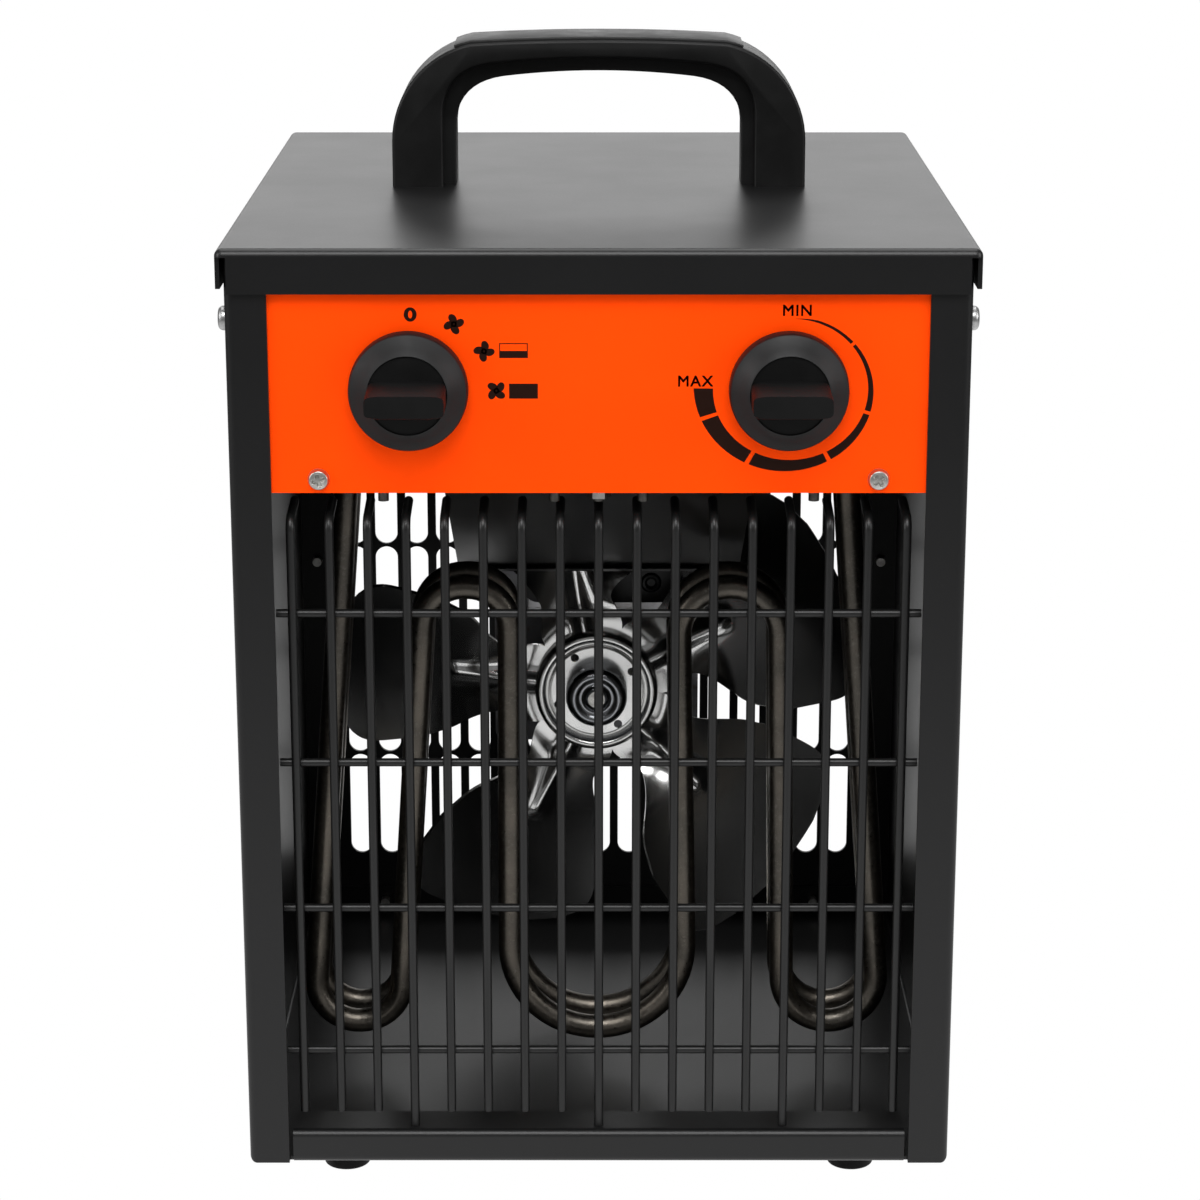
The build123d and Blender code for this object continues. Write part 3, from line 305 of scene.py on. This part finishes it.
def grid_surface(mesh, rows, columns, point):
    """A sheet whose corners come from point(row, column), both from 0 to 1."""
    lattice = [[mesh.verts.new(point(r / rows, c / columns)) for c in range(columns + 1)]
               for r in range(rows + 1)]
    for near, far in zip(lattice, lattice[1:]):
        for c in range(columns):
            mesh.faces.new((near[c], near[c + 1], far[c + 1], far[c]))


def prism(mesh, outline, y0, y1):
    """A closed (x, z) outline as a block between two depths."""
    face = mesh.faces.new([mesh.verts.new((x, y0, z)) for x, z in outline])
    moved = bmesh.ops.extrude_face_region(mesh, geom=[face])
    far = [item for item in moved["geom"] if isinstance(item, bmesh.types.BMVert)]
    bmesh.ops.translate(mesh, verts=far, vec=(0, y1 - y0, 0))


def merge(mesh, other):
    """Moves everything in the second bmesh into the first."""
    part = bpy.data.meshes.new("part")
    other.to_mesh(part)
    other.free()
    mesh.from_mesh(part)
    bpy.data.meshes.remove(part)


def round_edges(mesh, edges, radius, segments=3):
    bmesh.ops.bevel(mesh, geom=list(edges), offset=radius, offset_type="OFFSET", segments=segments,
                    profile=0.5, affect="EDGES", material=-1, clamp_overlap=True)


# Fan: one pressed sheet with a ringed disc, five blades and a bead along each blade's root.
# Lengths are in millimetres. BLADE_FIRST and HOLE_ANGLES are in degrees, the other angles in radians.

BLADES = 5
BLADE_FIRST = 31.5
BLADE_PITCH = math.radians(28.5)
BLADE_ARCH = 5.0
BLADE_ROOT = 17.6
BLADE_ROUNDS_FROM = 56.0
BLADE_TIP = 79.4
BLADE_DEPTH = 6.4
BLADE_SHEET = 0.9
BEAD_TURN = math.radians(29.2 - BLADE_FIRST)
BEAD_HALF = 2.4
BEAD_RISE = 2.4
DISC_SHEET = 1.0
HOLE_ANGLES = (122.0, 30.0, 302.0, 200.0)


def ease(value, low, high):
    """Rises smoothly from 0 at low to 1 at high."""
    t = min(1.0, max(0.0, (value - low) / (high - low)))
    return t * t * (3.0 - 2.0 * t)


def blade_point(along, across):
    """Radius, turn and depth of a point on a blade, in millimetres and radians."""
    radius = BLADE_ROOT + (BLADE_TIP - BLADE_ROOT) * along
    side = (across - 0.5) * 2.0
    trail = ease(side, -0.5, 0.5)
    half = math.radians(36.2) * (1.0 - 0.42 * ease(radius, 19.0, 30.0))
    half += math.radians(5.5) * ease(radius, 30.0, 48.0)
    half *= 1.0 + (0.186 - 0.272 * trail) * ease(radius, 24.0, 44.0)
    wide = radius * half
    if radius > BLADE_ROUNDS_FROM:
        fade = (radius - BLADE_ROUNDS_FROM) / (BLADE_TIP - BLADE_ROUNDS_FROM)
        corner = 9.0 - 1.4 * trail
        wide = BLADE_ROUNDS_FROM * half * (1.0 + 0.2 * fade)
        wide *= math.sqrt(max(0.0, 1.0 - (fade * 0.985) ** corner))
    chord = wide * side
    twist = ease(radius, 20.0, 42.0)
    depth = twist * (chord * math.tan(BLADE_PITCH) - BLADE_ARCH * (chord / 29.0) ** 2)
    bead = math.exp(-((chord - radius * BEAD_TURN) / BEAD_HALF) ** 2) * BEAD_RISE
    # The bead fades out between the radii 42 and 47
    bead *= ease(47.0, radius, radius + 5.0)
    rim = 1.6 * ease(radius, 27.0, 21.0)
    return radius, chord / radius, depth - bead - rim


def pierced_disc(inner, outer, depth, hole_at, hole_radius):
    """A flat ring with four round holes, whose rims are drawn onto true circles."""
    def on_ring(radius, turn):
        return Vector((radius * math.cos(turn), 0.0, radius * math.sin(turn)))

    disc = bmesh.new()
    grid_surface(disc, 24, 360, lambda row, column: on_ring(inner + (outer - inner) * row,
                                                            math.tau * column))
    for hole in [on_ring(hole_at, math.radians(a)) for a in HOLE_ANGLES]:
        lost = [f for f in disc.faces if (f.calc_center_median() - hole).length < hole_radius]
        rim = {v for f in lost for v in f.verts}
        bmesh.ops.delete(disc, geom=lost, context="FACES")
        for v in rim:
            if v.is_valid:
                v.co = hole + (v.co - hole).normalized() * hole_radius
    bmesh.ops.remove_doubles(disc, verts=disc.verts, dist=1e-4)
    bmesh.ops.recalc_face_normals(disc, faces=disc.faces)
    bmesh.ops.solidify(disc, geom=disc.faces[:], thickness=DISC_SHEET)
    bmesh.ops.scale(disc, vec=(MM, MM, MM), verts=disc.verts)
    front = min(v.co.y for v in disc.verts)
    bmesh.ops.translate(disc, verts=disc.verts, vec=(0, depth * MM - front, 0))
    return disc


def fan_impeller():
    """Ridged ring round the pierced disc, with the blades on its skirt."""
    mesh = bmesh.new()
    profile = [(13.3, 1.6), (13.8, 2.1), (14.3, 2.2), (14.8, 1.7), (15.3, 0.8), (15.9, 0.2), (16.6, 0.05),
               (17.3, 0.25), (17.9, 0.9), (18.3, 2.0), (18.5, 3.6), (18.5, 7.4), (17.5, 7.4), (17.4, 3.6),
               (16.9, 1.6), (16.3, 1.2), (15.7, 1.8), (14.8, 3.0), (13.8, 3.2), (13.3, 2.5)]
    lathe(mesh, profile, steps=120)
    merge(mesh, pierced_disc(8.4, 13.3, 1.55, 12.1, 1.25))
    for index in range(BLADES):
        turn = math.radians(BLADE_FIRST + 360.0 / BLADES * index)
        blade = bmesh.new()

        def point(along, across):
            radius, angle, depth = blade_point(along, across)
            a = turn + angle
            return (radius * math.cos(a) * MM, (depth + BLADE_DEPTH) * MM, radius * math.sin(a) * MM)

        grid_surface(blade, 56, 52, point)
        bmesh.ops.recalc_face_normals(blade, faces=blade.faces)
        bmesh.ops.solidify(blade, geom=blade.faces[:], thickness=BLADE_SHEET * MM)
        merge(mesh, blade)
    bmesh.ops.remove_doubles(mesh, verts=mesh.verts, dist=1e-6)
    bmesh.ops.translate(mesh, verts=mesh.verts, vec=AXIS)
    piece = add_piece("fan_impeller_pressed", mesh, "fan_steel", "rotor", sharp=50.0)
    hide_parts("fan_impeller")


fan_impeller()


def fan_hub():
    """Turned boss with a dished face round the shaft's end."""
    mesh = bmesh.new()
    profile = [(9.1, 1.4), (9.1, -4.2), (8.9, -5.2), (8.4, -6.1), (7.7, -6.7), (6.9, -7.0), (6.3, -6.95),
               (5.6, -6.5), (4.9, -6.15), (4.2, -6.2), (3.7, -6.6), (3.4, -7.0), (3.15, -7.1), (3.0, -6.9),
               (2.95, -5.4), (2.7, -5.2), (2.6, -5.5), (2.3, -5.7), (0.0, -5.75)]
    lathe(mesh, profile)
    bmesh.ops.translate(mesh, verts=mesh.verts, vec=AXIS)
    piece = add_piece("fan_hub_turned", mesh, "hub_steel", "rotor", sharp=40.0)
    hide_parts("fan_hub")


fan_hub()


def motor_front_plate():
    """Dark plate on the motor's front, above the shaft, with a pressed boss at its right."""
    mesh = bmesh.new()
    near = FRONT + 133.9 * MM
    corners = [(-23.1, 120.8), (24.1, 120.8), (24.1, 134.8), (-23.1, 134.8)]
    prism(mesh, [(x * MM, BASE + z * MM) for x, z in corners], near, near + 1.4 * MM)
    bmesh.ops.recalc_face_normals(mesh, faces=mesh.faces)
    round_edges(mesh, [e for e in mesh.edges if abs(e.verts[0].co.y - e.verts[1].co.y) > 1e-6], 5.0 * MM, 6)
    boss = bmesh.new()
    lathe(boss, [(1.2, 0.2), (1.3, -0.5), (1.9, -0.9), (2.5, -0.8), (3.1, -0.1), (3.2, 0.2)], steps=48)
    bmesh.ops.translate(boss, verts=boss.verts, vec=(15.7 * MM, near, BASE + 127.0 * MM))
    merge(mesh, boss)
    add_piece("motor_front_plate", mesh, "interior_steel")


motor_front_plate()


# Knobs

# Painted shade: a darker copy of the knob plastic for the face inside the skirt and the bar on it, for the
# shade in the knob's dish
knob_dish_shade = moulded_plastic("knob_dish_shade", (0.002, 0.002, 0.002), 0.5, 0.25, 0.005, specular=0.2)


KNOB_STEPS = 40


def knob(name, x, body, node):
    """Round skirt with a flat face, and a bar across it to turn it by."""
    mesh = bmesh.new()
    profile = [(12.6, -0.62), (14.9, -0.62), (15.3, -1.0), (15.35, -1.6), (15.2, -4.6), (14.9, -5.2),
               (14.4, -5.5), (13.9, -5.8), (12.0, -7.3), (10.7, -8.5), (10.25, -8.75), (10.1, -8.6),
               (10.0, -8.2), (0.0, -8.1)]
    lathe(mesh, profile)
    grip = bmesh.new()
    half = 10.0 * MM
    loops = []
    for depth, thick in ((-7.8, 3.9), (-8.6, 3.7), (-21.9, 3.05), (-22.3, 2.85)):
        outline = []
        for k in range(KNOB_STEPS):
            a = math.tau * k / KNOB_STEPS
            cx = math.copysign(abs(math.cos(a)) ** 0.32, math.cos(a)) * half
            cz = math.copysign(abs(math.sin(a)) ** 0.32, math.sin(a)) * thick * MM
            outline.append(grip.verts.new((cx, depth * MM, cz)))
        edges = [grip.edges.new(pair) for pair in zip(outline, outline[1:] + outline[:1])]
        loops.append((outline, edges))
    for (_, lower), (_, upper) in zip(loops, loops[1:]):
        bmesh.ops.bridge_loops(grip, edges=lower + upper)
    cap = grip.faces.new(loops[-1][0])
    bmesh.ops.inset_region(grip, faces=[cap], thickness=0.4 * MM, depth=0.0)
    bmesh.ops.translate(grip, verts=cap.verts, vec=(0, -0.25 * MM, 0))
    merge(mesh, grip)
    bmesh.ops.translate(mesh, verts=mesh.verts, vec=(x, PANEL_FACE, KNOB_Z))
    piece = add_piece(name, mesh, "knob_plastic", body, sharp=32.0)
    # The faces inside the skirt take the darker copy, as painted shade
    piece.data.materials.append(knob_dish_shade.material)
    for face in piece.data.polygons:
        middle = face.center - Vector((x, PANEL_FACE, KNOB_Z))
        if math.hypot(middle.x, middle.z) < 10.05 * MM and middle.y < -7.0 * MM:
            face.material_index = 1
    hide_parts(node)


knob("selector_knob_moulded", -KNOB_X, "selector", "selector_knob")
knob("thermostat_knob_moulded", KNOB_X, "temperature_dial", "thermostat_knob")


# Prints on the panel

PRINT_Y = PANEL_FACE - 0.03 * MM
prints = ink("panel_ink", (0.012, 0.003, 0.001))


def flat_print(name, outlines):
    """Closed (x, z) outlines in millimetres as a thin layer of ink on the panel."""
    mesh = bmesh.new()
    for outline in outlines:
        prism(mesh, [(x * MM, BASE + z * MM) for x, z in outline], PRINT_Y, PANEL_FACE + 0.02 * MM)
    return add_piece(name, mesh, "orange_paint", smooth=False, skin=prints)


def oval(x, z, long, wide, turn=0.0, steps=28):
    points = []
    for k in range(steps):
        a = math.tau * k / steps
        u, v = long * math.cos(a), wide * math.sin(a)
        points.append((x + u * math.cos(turn) - v * math.sin(turn),
                       z + u * math.sin(turn) + v * math.cos(turn)))
    return points


def fan_symbol(x, z, turn):
    """Four full petals, leaned over one way, round a small hub."""
    shapes = [oval(x, z, 0.75, 0.75)]
    for k in range(4):
        a = math.radians(turn) + k * math.pi / 2
        shapes.append(oval(x + 1.45 * math.cos(a), z + 1.45 * math.sin(a), 1.3, 0.96, a + 0.45))
    return shapes


def ring_halves(x, z, half, high, width):
    """A zero as two half rings."""
    halves = []
    for start in (-math.pi / 2, math.pi / 2):
        outer = []
        inner = []
        for k in range(15):
            a = start + math.pi * k / 14
            outer.append((x + half * math.cos(a), z + high * math.sin(a)))
            inner.append((x + (half - width) * math.cos(a), z + (high - width * 0.75) * math.sin(a)))
        halves.append(outer + inner[::-1])
    return halves


def box_outline(x0, x1, z0, z1):
    return [(x0, z0), (x1, z0), (x1, z1), (x0, z1)]


SCALE_CENTRE = (49.0, 214.8)


def arc_segment(a0, a1):
    """A piece of the temperature scale between two angles in degrees, thinner as the angle grows."""
    inner = []
    outer = []
    steps = max(4, int((a1 - a0) / 2))
    for s in range(steps + 1):
        deg = a0 + (a1 - a0) * s / steps
        a = math.radians(deg)
        u = (deg + 180.0) / 262.0
        thick = 4.36 * max(0.0, 1.0 - u) ** 1.5 + 0.6
        if deg > 70.0:
            thick *= max(0.04, (88.0 - deg) / 18.0)
        spoke = Vector((math.cos(a) * 19.8, math.sin(a) * 18.4))
        for line, point in ((inner, spoke), (outer, spoke + spoke.normalized() * thick)):
            line.append((SCALE_CENTRE[0] + point.x, SCALE_CENTRE[1] + point.y))
    return inner + outer[::-1]


# Where each piece of the scale begins and ends, in degrees
scale_stops = (-181.0, -161.5, -158.8, -119.6, -116.6, -64.5, -61.5, -19.3, -16.7, 37.9, 40.3, 87.0)
flat_print("print_scale", [arc_segment(a, b) for a, b in zip(scale_stops[::2], scale_stops[1::2])])
flat_print("print_fan_low", fan_symbol(-36.75, 231.8, 12.0))
flat_print("print_fan_half", fan_symbol(-29.15, 224.8, -10.0))
flat_print("print_fan_full", fan_symbol(-26.1, 214.55, 42.0))
flat_print("print_full_bar", [box_outline(-22.85, -15.5, 212.5, 216.4)])
flat_print("print_half_bar", [
    box_outline(-25.3, -18.0, 223.05, 224.9), box_outline(-25.3, -18.0, 226.65, 226.9),
    box_outline(-25.3, -25.05, 224.9, 226.65), box_outline(-18.25, -18.0, 224.9, 226.65)])
flat_print("print_zero", ring_halves(-47.8, 234.3, 1.65, 1.85, 1.12))


def lettering(name, words, x, z, height):
    """Words as a mesh, which stands at the origin with its place worked into its points."""
    curve = bpy.data.curves.new(name, "FONT")
    curve.body = words
    curve.align_x = "CENTER"
    curve.align_y = "CENTER"
    curve.size = height * MM * 1.38
    curve.space_character = 1.12
    curve.extrude = 0.02 * MM
    text = bpy.data.objects.new(name + "_curve", curve)
    bpy.context.scene.collection.objects.link(text)
    bpy.context.view_layer.update()
    flat = bpy.data.meshes.new_from_object(text)
    bold = bmesh.new()
    mesh = bmesh.new()
    mesh.from_mesh(flat)
    bpy.data.objects.remove(text)
    bpy.data.meshes.remove(flat)
    bmesh.ops.transform(mesh, verts=mesh.verts, matrix=Matrix.Translation(
        (x * MM, PANEL_FACE - 0.012 * MM, BASE + z * MM)) @ Matrix.Rotation(math.pi / 2, 4, "X"))
    for step in range(4):
        part = mesh.copy()
        a = math.pi / 4 + step * math.pi / 2
        shift = (0.1 * MM * math.cos(a), 0.0, 0.1 * MM * math.sin(a))
        bmesh.ops.translate(part, verts=part.verts, vec=shift)
        merge(bold, part)
    mesh.free()
    return add_piece(name, bold, "orange_paint", smooth=False, skin=prints)


lettering("print_min", "MIN", 50.4, 235.2, 2.9)
lettering("print_max", "MAX", 24.6, 216.9, 2.9)


# Screws with a cross recess at the panel's lower corners

def screw_head(mesh, x, z, radius, rise, turn):
    """A pan head that faces the front, with a pressed cross and a short shank."""
    def point(row, column):
        r = radius * row
        a = math.tau * column
        u = r * math.cos(a - turn)
        v = r * math.sin(a - turn)
        arm = min(abs(u), abs(v))
        reach = max(abs(u), abs(v))
        cross = ease(0.62, arm, arm + 0.3) * ease(1.75, reach, reach + 0.35)
        dome = rise * (1.0 - 0.25 * row ** 2) * (1.0 - ease(row, 0.78, 1.0) ** 2)
        return ((x + r * math.cos(a)) * MM, PANEL_FACE - (dome - 0.8 * cross) * MM,
                BASE + (z + r * math.sin(a)) * MM)

    grid_surface(mesh, 30, 120, point)
    shank = bmesh.new()
    lathe(shank, [(0.0, 8.0), (0.7, 7.6), (1.7, 6.2), (1.7, -0.2)], steps=32)
    bmesh.ops.translate(shank, verts=shank.verts, vec=(x * MM, PANEL_FACE, BASE + z * MM))
    merge(mesh, shank)


def panel_screws():
    mesh = bmesh.new()
    for x, turn in ((-PANEL_SCREW_X, 0.25), (PANEL_SCREW_X, 0.6)):
        screw_head(mesh, x, PANEL_SCREW_Z, 2.85, 1.9, turn)
    bmesh.ops.remove_doubles(mesh, verts=mesh.verts, dist=1e-7)
    piece = add_piece("panel_screws_crossed", mesh, "zinc_steel", sharp=40.0)
    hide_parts("panel_screws")


panel_screws()


# Handle

HANDLE_TOP = 41.0
HANDLE_HALF = 58.0
GRIP_HALF = 42.5


def arch_line(half, top, corner, steps=16):
    """The right half of an arch from its foot to the middle of its crown, above the cover."""
    points = [(half, 0.0)]
    for s in range(steps + 1):
        a = math.radians(78.0 * s / steps)
        points.append((half - corner + corner * math.cos(a), top - 0.4 - corner + corner * math.sin(a)))
    end_x, end_z = points[-1]
    for s in range(1, steps + 1):
        x = end_x * (1 - s / steps)
        points.append((x, top - (top - end_z) * (x / end_x) ** 2))
    return points


def inner_line(half, top):
    """The right half of the hand hole, whose corners are tighter than the arch's."""
    side = Vector((half, top - 15.0))
    bend = Vector((half - 0.6, top - 3.4))
    knee = Vector((half - 13.5, top - 1.6))
    points = [(half, 0.0)]
    for s in range(11):
        t = s / 10
        p = side * (1 - t) ** 2 + bend * 2 * t * (1 - t) + knee * t ** 2
        points.append((p.x, p.y))
    for s in range(1, 8):
        x = knee.x * (1 - s / 7)
        points.append((x, top - 1.6 * (x / knee.x) ** 2))
    return points


def mirrored(points):
    return points + [(-x, z) for x, z in points[-2::-1]]


def handle_block(outline, y0, y1, radius):
    """An outline above the cover as a block, with all its rims rounded but those on the cover."""
    block = bmesh.new()
    prism(block, [(x * MM, COVER_TOP + z * MM) for x, z in outline], y0, y1)
    bmesh.ops.recalc_face_normals(block, faces=block.faces)
    rims = [e for e in block.edges if abs(e.verts[0].co.y - e.verts[1].co.y) < 1e-6
            and max(v.co.z for v in e.verts) > COVER_TOP + 0.1 * MM]
    round_edges(block, rims, radius * MM)
    return block


def handle():
    """Two nested arches, with a raised grip strip along the crown."""
    mesh = bmesh.new()
    y0 = FRONT + 101.7 * MM
    y1 = y0 + 23.6 * MM
    outer = mirrored(arch_line(HANDLE_HALF, HANDLE_TOP, 28.0))
    hole = mirrored(inner_line(HANDLE_HALF - 14.4, HANDLE_TOP - 5.0))
    merge(mesh, handle_block(outer + hole[::-1], y0, y1, 0.9))
    web = mirrored(arch_line(HANDLE_HALF - 0.9, HANDLE_TOP - 0.7, 27.5))
    hole = mirrored(inner_line(HANDLE_HALF - 17.8, HANDLE_TOP - 9.0))
    merge(mesh, handle_block(web + hole[::-1], y0 + 5.0 * MM, y1 - 5.0 * MM, 0.5))
    top = [(x, z + 0.8) for x, z in outer if abs(x) <= GRIP_HALF and z > 20.0]
    under = [(x * 0.985, z - 2.0) for x, z in outer if abs(x) <= GRIP_HALF and z > 20.0]
    merge(mesh, handle_block(top + under[::-1], y0 + 0.7 * MM, y1 - 0.7 * MM, 0.45))
    piece = add_piece("handle_moulded", mesh, "handle_plastic", sharp=40.0)
    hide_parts("handle")


handle()


# Floor, light and camera. Distances are in metres. The focal length was worked out from the photo's
# edges, in its pixels.

FLOOR_NEAR = 0.35
FLOOR_FAR = 1.15
FLOOR_FAR_GREY = 0.08
ROOM_GREY = 0.24
FOCAL_PIXELS = 3320.0
PHOTO_PIXELS = 1200.0


def stage_material():
    """Floor that the camera sees as white. Its reflection is white near the heater and dark far off."""
    material = bpy.data.materials.new("stage_white")
    material.use_nodes = True
    tree = material.node_tree
    tree.nodes.clear()
    path = tree.nodes.new("ShaderNodeLightPath")
    white = tree.nodes.new("ShaderNodeEmission")
    white.inputs[0].default_value = (1, 1, 1, 1)
    lit = tree.nodes.new("ShaderNodeBsdfDiffuse")
    lit.inputs[0].default_value = (0.8, 0.8, 0.8, 1)
    seen = tree.nodes.new("ShaderNodeMath")
    seen.operation = "MAXIMUM"
    tree.links.new(path.outputs["Is Camera Ray"], seen.inputs[0])
    tree.links.new(path.outputs["Is Transmission Ray"], seen.inputs[1])
    place = tree.nodes.new("ShaderNodeTexCoord")
    reach = tree.nodes.new("ShaderNodeVectorMath")
    reach.operation = "LENGTH"
    tree.links.new(place.outputs["Object"], reach.inputs[0])
    fall = tree.nodes.new("ShaderNodeMapRange")
    for socket, setting in zip(fall.inputs[1:5], (FLOOR_NEAR, FLOOR_FAR, 1.0, FLOOR_FAR_GREY)):
        socket.default_value = setting
    tree.links.new(reach.outputs["Value"], fall.inputs[0])
    mirrored_floor = tree.nodes.new("ShaderNodeEmission")
    tree.links.new(fall.outputs[0], mirrored_floor.inputs["Color"])
    glossy = tree.nodes.new("ShaderNodeMixShader")
    tree.links.new(path.outputs["Is Glossy Ray"], glossy.inputs[0])
    tree.links.new(lit.outputs[0], glossy.inputs[1])
    tree.links.new(mirrored_floor.outputs[0], glossy.inputs[2])
    mix = tree.nodes.new("ShaderNodeMixShader")
    tree.links.new(seen.outputs[0], mix.inputs[0])
    tree.links.new(glossy.outputs[0], mix.inputs[1])
    tree.links.new(white.outputs[0], mix.inputs[2])
    out = tree.nodes.new("ShaderNodeOutputMaterial")
    tree.links.new(mix.outputs[0], out.inputs[0])
    return material


floor_mesh = bmesh.new()
bmesh.ops.create_grid(floor_mesh, x_segments=2, y_segments=2, size=6.0)
floor_data = bpy.data.meshes.new("floor")
floor_mesh.to_mesh(floor_data)
floor_mesh.free()
floor = bpy.data.objects.new("floor", floor_data)
floor_data.materials.append(stage_material())
bpy.context.scene.collection.objects.link(floor)

world = bpy.data.worlds.new("studio")
bpy.context.scene.world = world
world.use_nodes = True
tree = world.node_tree
tree.nodes.clear()
path = tree.nodes.new("ShaderNodeLightPath")
seen_white = tree.nodes.new("ShaderNodeBackground")
seen_white.inputs[0].default_value = (1, 1, 1, 1)
room = tree.nodes.new("ShaderNodeBackground")
room.inputs[0].default_value = (1, 1, 1, 1)
room.inputs[1].default_value = ROOM_GREY
mix = tree.nodes.new("ShaderNodeMixShader")
tree.links.new(path.outputs["Is Camera Ray"], mix.inputs[0])
tree.links.new(room.outputs[0], mix.inputs[1])
tree.links.new(seen_white.outputs[0], mix.inputs[2])
out = tree.nodes.new("ShaderNodeOutputWorld")
tree.links.new(mix.outputs[0], out.inputs[0])


def softbox(name, at, aim, width, height, power):
    light = bpy.data.lights.new(name, "AREA")
    light.shape = "RECTANGLE"
    light.size = width
    light.size_y = height
    light.energy = power
    lamp = bpy.data.objects.new(name, light)
    bpy.context.scene.collection.objects.link(lamp)
    lamp.location = at
    lamp.rotation_euler = (Vector(aim) - Vector(at)).to_track_quat("-Z", "Y").to_euler()


softbox("light_front", (0.0, -1.25, 1.55), (0, 0, 0.13), 1.2, 0.9, 24.0)
softbox("light_left", (-1.5, -0.7, 0.8), (0, 0, 0.15), 0.9, 1.1, 12.0)
softbox("light_right", (1.5, -0.7, 0.8), (0, 0, 0.15), 0.9, 1.1, 12.0)
softbox("light_top", (0.0, 0.5, 1.7), (0, 0, 0.1), 1.4, 1.2, 14.0)
softbox("light_back", (0.0, 2.6, 0.95), (0, 0, 0.25), 3.0, 1.1, 14.0)

camera_data = bpy.data.cameras.new("camera")
camera_data.sensor_width = 36.0
camera_data.lens = 36.0 * FOCAL_PIXELS / PHOTO_PIXELS
camera_data.clip_start = 0.05
camera = bpy.data.objects.new("camera", camera_data)
bpy.context.scene.collection.objects.link(camera)
camera.location = (0.35 * MM, FRONT - 829.0 * MM, BASE + 393.3 * MM)
camera.rotation_euler = (math.radians(90.0 - 15.76), 0.0, 0.0)
bpy.context.scene.camera = camera
bpy.context.scene.view_settings.view_transform = "Standard"
